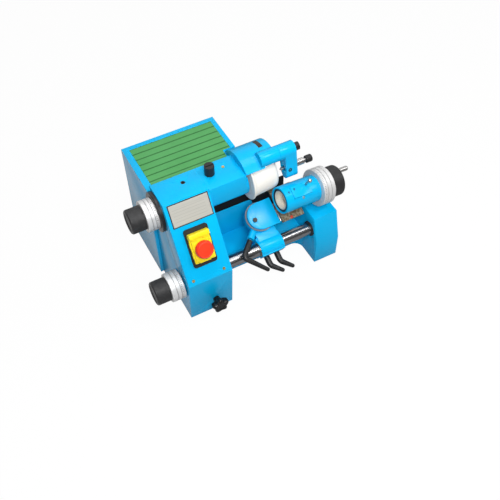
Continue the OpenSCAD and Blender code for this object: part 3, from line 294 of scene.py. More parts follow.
class Value:
    """A node's output; arithmetic on it adds Math nodes to its tree."""

    def __init__(self, shader, socket):
        self.shader, self.socket = shader, socket

    def _with(self, operation, left, right=0.0):
        return self.shader.node("ShaderNodeMath", {"operation": operation}, {0: left, 1: right})

    def __add__(self, other):
        return self._with("ADD", self, other)

    def __sub__(self, other):
        return self._with("SUBTRACT", self, other)

    def __mul__(self, other):
        return self._with("MULTIPLY", self, other)

    def __truediv__(self, other):
        return self._with("DIVIDE", self, other)

    def __mod__(self, other):
        return self._with("FLOORED_MODULO", self, other)

    def __rsub__(self, other):
        return self._with("SUBTRACT", other, self)

    def __rtruediv__(self, other):
        return self._with("DIVIDE", other, self)

    __radd__ = __add__
    __rmul__ = __mul__

    def __abs__(self):
        return self._with("ABSOLUTE", self)

    def sin(self):
        return self._with("SINE", self)

    def over(self, other):
        """The angle of the point (other, self)."""
        return self._with("ARCTAN2", self, other)

    def at_least(self, other):
        return self._with("MAXIMUM", self, other)


class Shader:
    """A node tree that expressions add to."""

    def __init__(self, tree):
        self.tree = tree

    def node(self, kind, settings=None, sockets=None, out=0):
        """Adds a node of a kind, sets it up, then fills its sockets with numbers, colours or links."""
        made = self.tree.nodes.new(kind)
        for key, setting in (settings or {}).items():
            if key == "stops":
                elements = made.color_ramp.elements
                while len(elements) < len(setting):
                    elements.new(0.5)
                for element, (position, colour) in zip(elements, setting):
                    element.position, element.color = position, colour
            else:
                setattr(made, key, setting)
        for key, value in (sockets or {}).items():
            self.fill(made.inputs[key], value)
        return Value(self, made.outputs[out])

    def fill(self, socket, value):
        """Gives a socket a link or a plain value."""
        if isinstance(value, Value):
            self.tree.links.new(value.socket, socket)
        else:
            socket.default_value = value

    def smooth(self, value, low, high, start=0.0, end=1.0):
        """start below low, end above high, eased between."""
        return self.node("ShaderNodeMapRange", {"interpolation_type": "SMOOTHSTEP"},
                         {"Value": value, "From Min": low, "From Max": high, "To Min": start, "To Max": end})

    def band(self, value, low, high, edge):
        """1 between low and high, with soft edges."""
        return self.smooth(value, low - edge, low + edge) * (1 - self.smooth(value, high - edge, high + edge))

    def ray(self, kind):
        """1 for rays of a kind: Camera, Glossy, Transmission or Diffuse."""
        return self.node("ShaderNodeLightPath", out=f"Is {kind} Ray")


class Finish(Shader):
    """One procedural material on Object coordinates."""

    def __init__(self, name):
        self.material = bpy.data.materials.new(name)
        self.material.use_nodes = True
        super().__init__(self.material.node_tree)
        self.principled = self.tree.nodes["Principled BSDF"]
        self.place = self.node("ShaderNodeTexCoord", out="Object")

    def noise(self, scale, detail=3.0, roughness=0.5, stretch=None):
        """Noise, drawn out along a direction where its stretch is under 1."""
        place = self.place if stretch is None else self.node(
            "ShaderNodeMapping", {}, {"Vector": self.place, "Scale": stretch})
        return self.node("ShaderNodeTexNoise", {}, {"Vector": place, "Scale": scale, "Detail": detail,
                                                    "Roughness": roughness})

    def rings(self, along, scale):
        """Noise that changes only along one direction."""
        return self.node("ShaderNodeTexNoise", {"noise_dimensions": "1D"},
                         {"W": along * scale, "Scale": 1.0, "Detail": 2.0})

    def cells(self, scale):
        """Distance to the nearest of scattered points."""
        return self.node("ShaderNodeTexVoronoi", {}, {"Vector": self.place, "Scale": scale})

    def toward(self, axes, direction):
        """Distance from the origin of axes along a direction, in millimetres."""
        offset = self.node("ShaderNodeVectorMath", {"operation": "SUBTRACT"},
                           {0: self.place, 1: axes.origin.tolist()})
        return MM * self.node("ShaderNodeVectorMath", {"operation": "DOT_PRODUCT"},
                              {0: offset, 1: direction.tolist()}, out="Value")

    def mix(self, share, first, second):
        """A share of the second colour in the first; the sockets' numbers are those of a colour mix."""
        return self.node("ShaderNodeMix", {"data_type": "RGBA"},
                         {0: share, 6: paint(first), 7: paint(second)}, out=2)

    def bump(self, height, strength, depth):
        """A relief with a depth in millimetres."""
        return self.node("ShaderNodeBump", {}, {"Strength": strength, "Distance": depth / MM, "Height": height})

    def done(self, **sockets):
        """Fills the shader's sockets, named with underscores for spaces."""
        for key, value in sockets.items():
            colour = isinstance(value, tuple)
            self.fill(self.principled.inputs[key.replace("_", " ")], paint(value) if colour else value)
        return self.material


def paint(colour):
    """A colour as a socket takes it."""
    return colour if isinstance(colour, Value) else (*colour, 1.0)


def shade(colour, share, lift=0.0):
    """A colour with its channels scaled and lifted, at most white."""
    return tuple(min(1.0, share * c + lift) for c in colour)


BLUE, SILVER = (0.002, 0.44, 0.81), (0.74, 0.74, 0.74)
# The second dark colour is painted shade for the inside of turned grooves
DUST, GROOVE_SHADE, INK = (0.25, 0.27, 0.28), (0.1, 0.1, 0.105), (0.03, 0.03, 0.035)
RING_SCALE, RING_DEPTH = 5.0, 0.06
GROOVE_W, GROOVE_RIM = 2.0, 0.2
BOLD_EVERY, SHORT_SHARE, TICK_EDGE = 5, 0.55, 0.1


def enamel(name, colour, gloss=0.18):
    """Sprayed enamel: slow drift of tone, a fine orange peel, and dust that gathers near the floor."""
    f = Finish(name)
    drift = f.noise(scale=7, detail=3)
    peel = f.noise(scale=420, detail=2)
    specks = f.smooth(f.noise(scale=160, detail=4, roughness=0.7), 0.62, 0.74)
    dust = (1 - f.smooth(f.toward(MACHINE, UP), 2, 26)) * specks
    tone = f.mix(drift, shade(colour, 0.86), shade(colour, 1.06))
    return f.done(Base_Color=f.mix(dust * 0.5, tone, DUST), Roughness=gloss + 0.1 * drift + 0.2 * dust,
                  Specular_IOR_Level=0.16, Normal=f.bump(peel, strength=0.12, depth=0.25))


def graduations(f, axes, along, count, low, high, reach):
    """1 on the lines of a dial: a short one in each division, and a longer one in each fifth."""
    turn = f.toward(axes, axes.third).over(f.toward(axes, axes.second)) / TAU + 0.5
    fine = abs((turn * count) % 1.0 - 0.5)
    bold = abs((turn * count / BOLD_EVERY) % 1.0 - 0.5)
    short = (1 - f.smooth(fine, 0.05, 0.09)) * f.band(along, low, low + (high - low) * SHORT_SHARE, TICK_EDGE)
    long = (1 - f.smooth(bold, 0.014, 0.024)) * f.band(along, low, low + reach, TICK_EDGE)
    return short.at_least(long)


def turned_metal(name, colour, axes, gloss=0.34, metal=0.9, ticks=None, grooves=()):
    """Metal turned about the first direction of axes: fine rings, a slow tone, and black graduations.
    ticks is (count, low, high, reach of the long ones), in divisions and millimetres along; grooves are
    the left edges, along, of grooves darkened with painted shade."""
    f = Finish(name)
    along = f.toward(axes, axes.first)
    rings = f.rings(along, RING_SCALE)
    cloud = f.noise(scale=30, detail=4)
    tone = f.mix(0.5 * rings + 0.5 * cloud, shade(colour, 0.72), colour)
    if ticks:
        tone = f.mix(graduations(f, axes, along, *ticks), tone, INK)
    # Painted shade: each groove is darkened where shade falls in it
    for low in grooves:
        groove_shade = f.band(along, low + GROOVE_RIM, low + (GROOVE_W - GROOVE_RIM), edge=0.3)
        tone = f.mix(0.6 * groove_shade, tone, GROOVE_SHADE)
    return f.done(Base_Color=tone, Metallic=metal, Roughness=gloss + 0.14 * cloud + 0.06 * rings,
                  Normal=f.bump(rings, strength=0.3, depth=RING_DEPTH))


def dial_face(name, axes, ticks, grooves):
    """The satin face of a dial."""
    return turned_metal(name, SILVER, axes, gloss=0.4, metal=0.35, ticks=ticks, grooves=grooves)


def blackened(name, colour=(0.022, 0.022, 0.023), gloss=0.36, metal=0.35):
    """Black oxide, moulded black or rubber: a fine grain and paler rubbed patches."""
    f = Finish(name)
    grain = f.noise(scale=900, detail=2)
    rub = f.smooth(f.noise(scale=55, detail=4, roughness=0.65), 0.55, 0.75)
    tone = f.mix(rub * 0.45, colour, shade(colour, 2.6, 0.01))
    return f.done(Base_Color=tone, Metallic=metal, Roughness=gloss + 0.12 * rub + 0.06 * grain,
                  Specular_IOR_Level=0.3, Normal=f.bump(grain, strength=0.2, depth=0.12))


def moulded(name, colour, gloss=0.3):
    """Glossy moulded plastic with a faint grain and dulled patches."""
    f = Finish(name)
    grain = f.noise(scale=600, detail=2)
    cloud = f.noise(scale=26, detail=3)
    tone = f.mix(cloud, shade(colour, 0.86), shade(colour, 1.05, 0.004))
    return f.done(Base_Color=tone, Roughness=gloss + 0.12 * cloud, Specular_IOR_Level=0.3,
                  Normal=f.bump(grain, strength=0.1, depth=0.1))


def ground_bar(name, colour, gloss):
    """A ground and polished bar: fine lengthwise scratches and an oily drift of tone."""
    f = Finish(name)
    scratch = f.noise(scale=320, detail=2, roughness=0.4, stretch=(0.006, 1.0, 1.0))
    oil = f.noise(scale=9, detail=2)
    tone = f.mix(0.6 * oil + 0.4 * scratch, shade(colour, 0.55), colour)
    return f.done(Base_Color=tone, Metallic=1.0, Roughness=gloss + 0.08 * oil + 0.04 * scratch,
                  Normal=f.bump(scratch, strength=0.01, depth=0.02))


def vitrified(name):
    """White vitrified abrasive: open grit of two sizes, a warm drift of tone, and dark stray grains."""
    f = Finish(name)
    grit = f.cells(900.0)
    coarse = f.noise(scale=330, detail=4, roughness=0.65)
    warm = f.noise(scale=24, detail=3)
    stray = f.smooth(f.noise(scale=500, detail=1), 0.7, 0.76)
    tone = f.mix(warm, (0.80, 0.765, 0.70), (0.93, 0.91, 0.86))
    tone = f.mix(0.3 * stray + 0.12 * coarse, tone, (0.55, 0.5, 0.42))
    return f.done(Base_Color=tone, Roughness=0.9, Normal=f.bump(grit * 0.5 + coarse, strength=0.5, depth=0.35))


def ribbed_mat(name):
    """Green rubber mat: fine ribs along its length, painted shade in its grooves, and a little faded."""
    rib_pitch, groove_pitch, first_groove = 1.9, 18.571, 167
    f = Finish(name)
    back = f.toward(MACHINE, BACK)
    rib = (back * (TAU / rib_pitch)).sin()
    groove_shade = 1 - f.smooth(abs(((back - first_groove) / groove_pitch + 0.5) % 1.0 - 0.5), 0.04, 0.15)
    fade = f.noise(scale=16, detail=4)
    scuff = f.smooth(f.noise(scale=120, detail=4, roughness=0.7), 0.5, 0.8)
    tone = f.mix(fade, (0.044, 0.25, 0.06), (0.078, 0.325, 0.095))
    tone = f.mix(0.3 * scuff, tone, (0.15, 0.35, 0.15))
    # Painted shade: the mat's grooves are darkened where shade falls in them
    tone = f.mix(groove_shade * 0.7, tone, (0.012, 0.1, 0.022))
    return f.done(Base_Color=tone, Roughness=0.62 + 0.2 * scuff, Normal=f.bump(rib, strength=0.3, depth=0.25))


def ruled_plate(name):
    """Satin plate with a black border and faint empty ruled lines."""
    left, right, foot, top = 9.6, 97.4, 136.6, 183.9
    rule_left, rule_right, rule_foot, rule_top, rule_pitch = 16, 88, 141, 176, 6.5
    f = Finish(name)
    across, rise = f.toward(PANEL, RIGHT), f.toward(PANEL, PANEL_UP)
    inside = f.band(across, left, right, edge=0.15) * f.band(rise, foot, top, edge=0.15)
    rule = 1 - f.smooth(abs((rise / rule_pitch) % 1.0 - 0.5), 0.03, 0.06)
    rule = rule * f.band(across, rule_left, rule_right, edge=0.2) * f.band(rise, rule_foot, rule_top, edge=0.2)
    brush = f.noise(scale=300, detail=3, roughness=0.6, stretch=(0.03, 1.0, 1.0))
    tone = f.mix(brush, (0.44, 0.435, 0.395), (0.55, 0.54, 0.49))
    tone = f.mix(rule * 0.45, tone, (0.22, 0.21, 0.2))
    tone = f.mix(inside, (0.02, 0.02, 0.022), tone)
    return f.done(Base_Color=tone, Metallic=0.35 * inside, Roughness=0.42 + 0.12 * brush,
                  Normal=f.bump(brush, strength=0.1, depth=0.1))


def scraped(name):
    """Scraped table: mottled brown and grey steel with scraper marks, oil stains and one red paint dot."""
    dot_x, dot_y = 283, 36
    stops = [(0.3, (0.03, 0.022, 0.012, 1)), (0.52, (0.15, 0.115, 0.065, 1)), (0.72, (0.34, 0.3, 0.22, 1))]
    f = Finish(name)
    marks = f.cells(260.0)
    stain = f.noise(scale=75, detail=5, roughness=0.65)
    tone = f.node("ShaderNodeValToRGB", {"stops": stops}, {"Fac": stain * 0.75 + marks * 0.35})
    a = f.toward(CARRIAGE, RIGHT) - dot_x
    b = f.toward(CARRIAGE, CARRIAGE_BACK) - dot_y
    dot = 1 - f.smooth(a * a + b * b, 7.0, 13.0)
    return f.done(Base_Color=f.mix(dot, tone, (0.62, 0.03, 0.015)), Metallic=0.12 * (1 - dot),
                  Specular_IOR_Level=0.25, Roughness=0.45 + 0.3 * stain,
                  Normal=f.bump(marks + stain, strength=0.25, depth=0.3))


blue = enamel("blue_enamel", BLUE)
steel = turned_metal("machined_steel", (0.6, 0.6, 0.6), BAR, gloss=0.3)
bar_steel = ground_bar("ground_bar", (0.36, 0.36, 0.37), gloss=0.2)
rod_steel = ground_bar("dresser_steel", (0.58, 0.57, 0.56), gloss=0.24)
black_metal = blackened("black_oxide")
black_moulded = blackened("black_moulding", (0.02, 0.02, 0.021), gloss=0.44, metal=0.0)
star_black = blackened("star_moulding", (0.006, 0.006, 0.0065), gloss=0.3, metal=0.0)
brass = turned_metal("turned_brass", (0.62, 0.45, 0.17), BAR, gloss=0.32)
upper_silver = dial_face("upper_dial_face", SPINDLE, (50, -14.6, -9.5, 4.6), (-24.9, -17.1))
lower_silver = dial_face("lower_dial_face", BAR, (50, -11.0, -4.4, 5.6), (-22.8, -13.5))
index_silver = dial_face("index_dial_face", WORKHEAD, (72, 93.0, 99.5, 5.0), (100.6, 110.5))
ring_grey = turned_metal("scale_ring_face", (0.24, 0.25, 0.26), CARRIAGE, gloss=0.45, metal=0.2)
collet_silver = turned_metal("collet_bright", (0.8, 0.77, 0.68), WORKHEAD, gloss=0.35, metal=0.15)
motor_grey = enamel("motor_enamel", (0.13, 0.14, 0.15), gloss=0.4)
pulley_metal = turned_metal("pulley_aluminium", (0.55, 0.55, 0.56), SPINDLE)
belt_rubber = blackened("belt_rubber", (0.03, 0.026, 0.024), gloss=0.7, metal=0.0)
yellow = moulded("yellow_moulding", (0.95, 0.74, 0.015))
red = moulded("red_moulding", (0.92, 0.042, 0.01), gloss=0.36)
green_button = moulded("green_moulding", (0.04, 0.4, 0.1))

# Nodes that keep their CAD shape
plain_finish = {
    "cover_screws": steel, "tray_mat": ribbed_mat("green_mat"), "socket_screws": black_metal,
    "dial_flange": black_metal, "nameplate": ruled_plate("name_plate"), "switch_plate": black_moulded,
    "switch_block": black_moulded, "start_button": green_button, "brass_screws": brass,
    "motor_housing": motor_grey, "motor_bracket": steel, "motor_rotor": steel, "motor_pulley": pulley_metal,
    "drive_belt": belt_rubber, "bar_wiper": black_moulded, "cord_inlet": black_moulded, "quill_sleeve": steel,
    "spindle_bearings": steel, "spindle_shaft": steel, "spindle_pulley": pulley_metal, "wheel_nut": steel,
    "upper_dial": upper_silver, "lower_dial": lower_silver, "quill_lock_knob": black_metal,
    "dresser_pivot": black_metal, "carriage_liner": brass, "scale_ring": ring_grey, "swivel_bolt": black_metal,
    "tilt_pin": steel, "work_spindle": black_metal, "collet": collet_silver, "index_dial": index_silver,
    "index_plunger": rod_steel,
}
for node, finish in plain_finish.items():
    nodes[node].data.materials.clear()
    nodes[node].data.materials.append(finish)

# Castings: the width of their rounded edges in millimetres, and its segments
castings = {
    "column_casting": (2.4, 3), "base_casting": (3.0, 3), "cabinet_shell": (1.6, 3), "cabinet_cover": (0.6, 2),
    "spindle_head": (2.2, 3), "wheel_guard": (2.0, 3), "splash_wall": (1.0, 2), "dresser_arm": (2.4, 3),
    "carriage_body": (3.0, 4), "swivel_slab": (3.6, 5), "workhead_body": (1.4, 3),
}
for node, (width, segments) in castings.items():
    softened(node, width, segments, blue)
softened("slide_table", 0.6, 2, scraped("scraped_table"))


# Turned pieces. A profile is a list of corners: millimetres along, radius and rounding

KNURL_EASE = 1.5
KNOB_LEFT = {"upper": -66.3, "lower": -66.0}
FEED_KNOB = [(1.2, 0, 0), (1.2, 19, 1), (-0.6, 21, 1), (-1.5, 24.5, 1.2), (1.2, 27, 1), (31.4, 27, 0.5),
             (32, 25, 0.3), (32, 6.1, 0)]
DRAWBAR_KNOB = [(122.4, 20.1, 0), (122.4, 33.4, 0.4), (123.4, 35.2, 0.6), (153.2, 35.2, 0.8),
                (154.3, 33.8, 0.6), (154.3, 28.5, 0.5), (153.3, 26.5, 0.5), (153.3, 0, 0)]
GUIDE_BAR = [(48, 0, 0), (48, 6.05, 0), (14, 6.05, 0), (14, 13.2, 0.3), (14.8, 14, 0.3), (365.2, 14, 0.3),
             (366, 13.2, 0.3), (366, 0, 0)]
CRANK_PIN = [(144.3, 0, 0), (144.3, 5.6, 0), (194.3, 5.6, 1.5), (196.3, 3.6, 0.5), (196.3, 0, 0)]
CRANK_THROW = 17.0
DRESSER_ROD = [(272, 0, 0), (272, 1, 0), (276, 4, 0), (286, 4, 0), (286, 6.9, 0), (286.6, 7.5, 0),
               (330.1, 7.5, 0), (330.6, 7, 0), (330.6, 4, 0), (343.1, 4, 0), (343.1, 0, 0)]
DRESSER_KNOB = [(335.7, 4.05, 0), (335.7, 7.6, 0.5), (336.6, 8.4, 0.4), (349.5, 8.4, 0.6), (350.6, 7.4, 0.5),
                (350.6, 0, 0)]
# A flared lip at the back, a shallow taper, a rounded front and a turned hollow
CUP_WHEEL = [(204.02, 10.1, 0), (204.02, 50.5, 2), (206.2, 52, 2), (209, 50.0, 3), (213, 47.2, 4), (264, 43.8, 5),
             (269.5, 39.5, 5), (269.5, 32.5, 2), (218.1, 32.5, 2), (218.1, 10.1, 0)]
# A stem, and a domed cap with a shallow ring on its top
MUSHROOM = [(4.1, 0, 0), (4.1, 5.9, 0.4), (21.0, 5.9, 0.5), (21.6, 18.2, 1.0), (23.2, 20, 1.6), (28.5, 19.6, 3),
            (33.2, 17.0, 3), (33.6, 15.2, 0.6), (32.9, 14.4, 0.6), (33.4, 0, 0)]
STAR_KNOB = [(0, 0, 0), (0, 7.6, 0.5), (9.5, 7.8, 1.5), (12.0, 15.0, 1.2), (14.0, 19.6, 2.2), (24.5, 20.4, 2.4),
             (28.0, 17.0, 2.0), (28.0, 8.5, 0.8), (27.0, 7.0, 0.6), (27.0, 0, 0)]
STAR_SCREW = [(0, 0), (0, 4.0), (56, 4.0), (57.5, 3.0), (57.5, 0)]
GIB_ROD = [(36.5, 0, 0), (36.5, 2.6, 0.5), (56, 2.6, 0.5), (56, 0, 0)]

LID_LOW, LID_HIGH, LID_MIDDLE = 48.0, 115.6, 50.75
STOP_SHARE = 0.45  # of the way up the lid
STOP = Axes(PANEL.place(LID_MIDDLE, LID_LOW + STOP_SHARE * (LID_HIGH - LID_LOW), 0), PANEL_OUT, RIGHT, PANEL_UP)


def knurl(teeth, pitch, depth, low, high):
    """Diamond knurl: depth times the lower of two crossed triangle waves, less a half, eased out towards the
    ends low and high. There are teeth waves in a turn, and they slant by a turn in pitch millimetres."""
    def relief(along, angle):
        slant = along * teeth / pitch
        first = np.abs((angle * teeth + slant * TAU) / TAU % 1 - 0.5) * 2
        second = np.abs((angle * teeth - slant * TAU) / TAU % 1 - 0.5) * 2
        ease = ramp(along - low, KNURL_EASE) * ramp(high - along, KNURL_EASE)
        return ease * depth * (np.minimum(first, second) - 0.5)
    return relief


for side, axes in (("upper", SPINDLE), ("lower", BAR)):
    left = KNOB_LEFT[side]
    lathe(f"{side}_knob_knurled", axes, [(left + a, r, rounding) for a, r, rounding in FEED_KNOB], f"{side}_knob",
          black_moulded, step=0.75, segments=360,
          relief=knurl(teeth=72, pitch=200, depth=0.7, low=left + 1.6, high=left + 31))
lathe("drawbar_knob_knurled", WORKHEAD, DRAWBAR_KNOB, "drawbar_knob", black_moulded, step=0.8, segments=360,
      relief=knurl(teeth=88, pitch=220, depth=0.7, low=124, high=153))
lathe("guide_bar_ground", BAR, GUIDE_BAR, "guide_bar", bar_steel, step=20, segments=96, steps=3)
lathe("crank_pin_round", WORKHEAD, CRANK_PIN, "crank_pin", rod_steel, step=20, segments=96, steps=3,
      middle=(CRANK_THROW, 0.0))
lathe("dresser_rod_round", DRESSER, DRESSER_ROD, "dresser_rod", rod_steel, step=20, segments=96, steps=3)
lathe("dresser_knob_knurled", DRESSER, DRESSER_KNOB, "dresser_knob", black_metal, step=0.5, segments=180,
      relief=knurl(teeth=36, pitch=60, depth=0.5, low=336.5, high=349))
lathe("cup_wheel", SPINDLE, CUP_WHEEL, "grinding_wheel", vitrified("white_abrasive"), step=2.5, segments=192,
      steps=7)
lathe("mushroom_button", STOP, MUSHROOM, "stop_button", red, step=1.5, segments=128, steps=6)

# Yellow lid, in the panel's directions
LID_BOXES = [
    ((27.2, 48.2, 4.4), (74.3, 112.5, 12.0), 1.6),  # plate
    ((30.2, 52.0, 9.0), (71.3, 108.0, 16.0), 2.0),  # raised body
    ((27.6, 104.5, 5.0), (73.9, 115.4, 20.6), 1.8),  # hinge bar
    *(((x, 100.5, 12.0), (x + 12, 106.0, 18.5), 1.0) for x in (33.0, 56.5)),  # knuckles
    ((38.0, 46.4, 5.0), (63.5, 50.0, 10.0), 0.8),  # lip at the foot
    *(((x, y, 5.0), (x + 2.4, y + 12, 11.0), 0.8) for x in (26.6, 72.5) for y in (60.0, 84.0)),  # side rails
]
stand_in(blocks("switch_lid_stepped", PANEL, LID_BOXES), "switch_lid", yellow)


def star(lobes=5, depth=0.16, start=0.35):
    """Lobed knob about the clamp screw, pointing forwards, with a dished front and a round neck behind:
    r(s, a) = radius(s) (1 - depth w (1 - cos lobes (a - start))), where the weight w is 0 on the neck and
    near the middle of the front, and 1 at the rim."""
    middle_r, neck_l, neck_ease, segments = 9, 10, 3, 200
    axes = Axes(STAR_PLACE, -BACK, RIGHT, UP)
    shape = refine(rounded_profile(STAR_KNOB, steps=6), step=1.2)
    angle = np.linspace(0, TAU, segments, endpoint=False)[None, :]
    along, radius = shape[:, :1], shape[:, 1:2]
    weight = ramp(radius - middle_r, middle_r) ** 1.2 * ramp(along - neck_l, neck_ease)
    reach = radius * (1 - depth * weight * (1 - np.cos(lobes * (angle - start))))
    points = axes.at(along + 0 * angle, reach * np.cos(angle), reach * np.sin(angle))
    return grid_piece("star_knob_lobed", points)


stand_in(star(), "star_knob", star_black, sharp=60)
star_screw = turned("star_screw", Axes(STAR_PLACE, BACK, RIGHT, UP), np.array(STAR_SCREW, float), segments=48)
settle(star_screw, "star", steel)


# Clamp levers, in the carriage's directions

BEND_REACH, BEND_SHARE = 9, 0.16  # where the bend starts before the elbow, and its share of the handle
HUB_SHARE, ROOT_RUN = 0.8, 6  # the part of the hub at its full radius, and how far past the elbow the root lies
HUB_LIP = 0.8
CLAMP_RADII, SWIVEL_RADII = (7.0, 6.2, 4.4), (6.6, 6.2, 4.6)
CLAMP_X = {"left": 209.0, "right": 235.0}
CLAMP_UP = -26
SWIVEL_BOSS = np.array([217, 65.04, 15.9])
SWIVEL_BOSS_R, SWIVEL_HUB_AT, SWIVEL_ELBOW_AT = 33.5, 23.3, 71.3
SWIVEL_TURN, SWIVEL_RISE = math.radians(224), math.radians(11)
SWIVEL_HANDLE = np.array([45, -47, -9])


def lever(name, hub, elbow, tip, radii, node):
    """A clamp lever that stands for a node: a round hub that bends smoothly into a tapered handle with a
    rounded end. The radii are those of the hub, the handle's root and its tip."""
    hub, elbow, tip = (np.array(p, float) for p in (hub, elbow, tip))
    hub_r, root_r, tip_r = radii
    bend = np.linalg.norm(hub - elbow)
    a = elbow + (hub - elbow) * min(1.0, BEND_REACH / bend)
    c = elbow + (tip - elbow) * BEND_SHARE
    in_hub, in_bend, in_handle = (np.linspace(0, 1, count)[:, None] for count in (12, 24, 40))
    path = np.concatenate([hub + (a - hub) * in_hub, arc(a, elbow, c, in_bend)[1:],
                           c + (tip - c) * in_handle[1:]])
    walk = np.concatenate([[0], np.cumsum(np.linalg.norm(np.diff(path, axis=0), axis=1))])
    keep = np.concatenate([[True], np.diff(walk) > 1e-6])
    path, walk = path[keep], walk[keep]
    radius = np.interp(walk, [0, bend * HUB_SHARE, bend + ROOT_RUN, walk[-1]], [hub_r, hub_r, root_r, tip_r])
    start = np.where(walk <= 0, 0, dome(walk + HUB_LIP, 2 * HUB_LIP))
    obj = tube(name, CARRIAGE.at(*path.T), radius * dome(walk[-1] - walk, tip_r) * start)
    stand_in(obj, node, black_metal, sharp=50)


for side, x in CLAMP_X.items():
    lever(f"clamp_lever_{side}_bent", (x, -14.3, CLAMP_UP), (x, -40.6, CLAMP_UP), (x + 25.5, -64.8, CLAMP_UP),
          CLAMP_RADII, f"bar_clamp_lever_{side}")
level_way = np.array([math.cos(SWIVEL_TURN), math.sin(SWIVEL_TURN), 0])
swivel_way = level_way * math.cos(SWIVEL_RISE) + UP * math.sin(SWIVEL_RISE)
swivel_start = SWIVEL_BOSS + SWIVEL_BOSS_R * level_way
elbow = swivel_start + swivel_way * SWIVEL_ELBOW_AT
lever("swivel_lever_bent", swivel_start + swivel_way * SWIVEL_HUB_AT, elbow, elbow + SWIVEL_HANDLE,
      SWIVEL_RADII, "swivel_clamp_lever")


# Small pieces with no solid of their own

# A screw's profile: millimetres along, and shares of its radius
SCREW = np.array([(-1.0, 1), (0.5, 1), (0.9, 0.86), (0.9, 0.5), (-0.6, 0.46), (-0.6, 0)])
SIDE_COS, SIDE_SIN = 0.845, 0.535  # of the turn from the workhead's top to its side
ARM_COS, ARM_SIN = 0.217, 0.976  # of the slope of the dresser arm's front
PLATE_R, PLATE_X, PLATE_ANGLES = 68.25, (243, 253), (58, 88)
STRIP_BOX = ((7.6, 160.6, 268.0), (95.4, 163.8, 278.4), 0.4)
# The last box is a black sheet that stands in for shade behind the wheel, not a part of the machine
SHADE_SHEET_BOX = ((104.0, 156.2, 59.4), (318.0, 159.4, 168.0), 1.2)
GIB_X, GIB_UP = 256.0, 32.4


def set_screw(name, axes, spot, radius, body, finish):
    """A small socket screw along the third direction of axes, a little proud: a rim, a chamfer and a socket."""
    here = Axes(axes.place(*spot), axes.third, axes.first, axes.second)
    settle(turned(name, here, SCREW * (1, radius), segments=36), body, finish)


def guard_plate():
    """A bare dark plate that follows the guard: p(x, a) = x, spindle + PLATE_R (cos a, sin a)."""
    x, a = np.meshgrid(np.linspace(*PLATE_X, 8), np.radians(np.linspace(*PLATE_ANGLES, 30)), indexing="ij")
    return grid_piece("guard_plate", SPINDLE.at(x, PLATE_R * np.cos(a), PLATE_R * np.sin(a)), closed=False)


head_side = Axes(CARRIAGE.place(*WORKHEAD_PLACE), WORK_ALONG, SIDE_COS * CARRIAGE_BACK + SIDE_SIN * WORK_UP,
                 -SIDE_SIN * CARRIAGE_BACK + SIDE_COS * WORK_UP)
arm_front = Axes((290.5, 84.3, 261.7), RIGHT, np.array([0, ARM_COS, ARM_SIN]), np.array([0, -ARM_SIN, ARM_COS]))
set_screw("workhead_screw_a", WORKHEAD, (12, 4.3, 29.8), 2.4, "workhead", black_metal)
set_screw("workhead_screw_b", WORKHEAD, (26, 6.6, 32.2), 2.4, "workhead", black_metal)
set_screw("workhead_screw_c", head_side, (42.7, 0, 30.2), 2.9, "workhead", brass)
set_screw("arm_screw", arm_front, (0, 0, 0.9), 4.2, "dresser", black_metal)
settle(guard_plate(), "frame",
       blackened("bare_plate", (0.03, 0.018, 0.012), gloss=0.3, metal=0.3))
settle(blocks("column_back_strip", MACHINE, [STRIP_BOX]), "frame", blue)
# Painted shade: a black sheet behind the splash wall, the wheel and the workhead, put where there is only shade
settle(blocks("shade_sheet", MACHINE, [SHADE_SHEET_BOX]), "frame",
       blackened("shade_sheet_black", (0.006, 0.006, 0.007), gloss=0.75, metal=0.0))
gib = Axes(CARRIAGE.place(GIB_X, 0, GIB_UP), CARRIAGE_BACK, RIGHT, CARRIAGE_UP)
settle(turned("gib_rod", gib, rounded_profile(GIB_ROD), segments=40), "swivel", rod_steel)


# Camera, lamps, sky and floor

EYE = (-309.2, -904.8, 1394.6)  # millimetres, as the places are
AZIMUTH, ELEVATION, ROLL = (math.radians(v) for v in (-26.73, 50.52, -1.65))
SENSOR, LENS = 36.0, 54.0
NEAR, FAR = 0.05, 50.0
LAMPS = [  # name, spot and target in metres, width in metres, watts
    ("key", (-0.36, -1.1, 1.42), (0, 0, 0.12), 0.6, 23),
    ("gloss", (0.48, -0.7, 1.62), (0, 0, 0.12), 0.28, 7),
    ("side", (1.35, -0.5, 0.9), (0, 0, 0.12), 0.6, 5),
    ("top", (0.05, 0.2, 1.9), (0, 0, 0.1), 0.9, 9),
]
SKY_WAY = (0.0, 0.6, 0.8)  # towards the brightest part of the sky
SKY_DIM, SKY_BRIGHT, SKY_FILL = 0.12, 1.3, 0.15
FLOOR_REACH, FLOOR_DROP = 6, 0.0003


def stand(obj, x, y, z, spot):
    """Turns an object's axes to three directions, at a spot in metres."""
    rows = zip(np.stack([x, y, z], 1), spot)
    obj.matrix_world = Matrix([[*map(float, row), float(s)] for row, s in rows] + [[0, 0, 0, 1]])


def set_camera():
    """The photo's viewpoint."""
    level = math.cos(ELEVATION)
    back = np.array([math.sin(AZIMUTH) * level, -math.cos(AZIMUTH) * level, math.sin(ELEVATION)])
    right = unit(np.cross(UP, back))
    up = np.cross(back, right)
    obj = placed("photo_camera", bpy.data.cameras.new("photo_camera"))
    obj.data.sensor_width, obj.data.lens = SENSOR, LENS
    obj.data.clip_start, obj.data.clip_end = NEAR, FAR
    stand(obj, math.cos(ROLL) * right + math.sin(ROLL) * up, -math.sin(ROLL) * right + math.cos(ROLL) * up, back,
          MACHINE.at(*EYE))
    bpy.context.scene.camera = obj


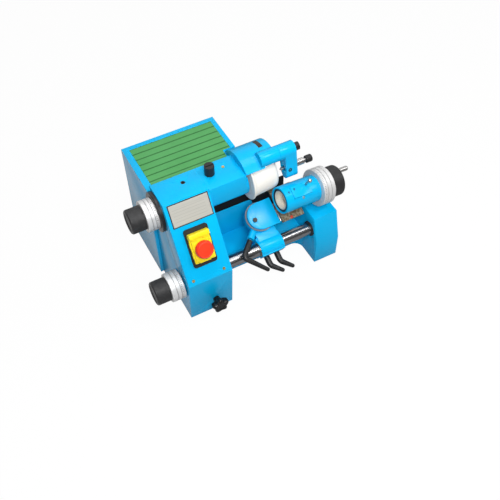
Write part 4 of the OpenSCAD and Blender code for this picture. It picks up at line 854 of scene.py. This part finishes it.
def lamp(name, spot, target, width, watts):
    """A round soft lamp that shines from a spot at a target."""
    light = bpy.data.lights.new(name, "AREA")
    light.shape, light.size, light.energy = "DISK", width, watts
    z = unit(np.array(spot, float) - np.array(target, float))
    x = unit(np.cross(UP if abs(z[2]) < 0.99 else BACK, z))
    stand(placed(name, light), x, np.cross(z, x), z, spot)


def set_sky():
    """White to the camera, a gradient that is brightest high at the back in reflections, and weak as a lamp."""
    world = bpy.data.worlds.new("studio")
    bpy.context.scene.world = world
    world.use_nodes = True
    w = Shader(world.node_tree)
    way = w.node("ShaderNodeTexCoord", out="Generated")
    rise = w.node("ShaderNodeVectorMath", {"operation": "DOT_PRODUCT"}, {0: way, 1: SKY_WAY}, out="Value")
    sheen = w.smooth(rise, 0.2, 0.95, SKY_DIM, SKY_BRIGHT)
    sockets = w.tree.nodes["Background"].inputs
    w.fill(sockets["Color"], (1, 1, 1, 1))
    w.fill(sockets["Strength"],
           w.ray("Camera") + w.ray("Glossy") * sheen + w.ray("Transmission") + w.ray("Diffuse") * SKY_FILL)


def lay_floor():
    """A pale floor: a matte grey to light, nearly white to the camera, and in reflections white only
    on the left."""
    f = Finish("pale_floor")
    material = f.done(Base_Color=f.mix(f.noise(scale=3, detail=2), (0.34, 0.34, 0.34), (0.36, 0.36, 0.36)),
                      Roughness=0.9)
    glow = f.node("ShaderNodeEmission", {}, {"Color": (1, 1, 1, 1), "Strength": 1.05})
    left = 1 - f.smooth(f.toward(MACHINE, RIGHT), -60, 40)
    share = (f.ray("Camera") * 0.92).at_least(f.ray("Glossy") * (0.03 + 0.8 * left))
    matte = Value(f, f.principled.outputs[0])
    blend = f.node("ShaderNodeMixShader", {}, {0: share, 1: matte, 2: glow})
    f.fill(f.tree.nodes["Material Output"].inputs["Surface"], blend)
    side = np.linspace(-FLOOR_REACH, FLOOR_REACH, 3)
    points = np.stack([*np.meshgrid(side, side), np.full((3, 3), -FLOOR_DROP)], -1)
    floor = grid_piece("floor", points, closed=False)
    floor.data.materials.append(material)


set_camera()
for row in LAMPS:
    lamp(*row)
set_sky()
lay_floor()
bpy.context.scene.view_settings.view_transform = "Standard"
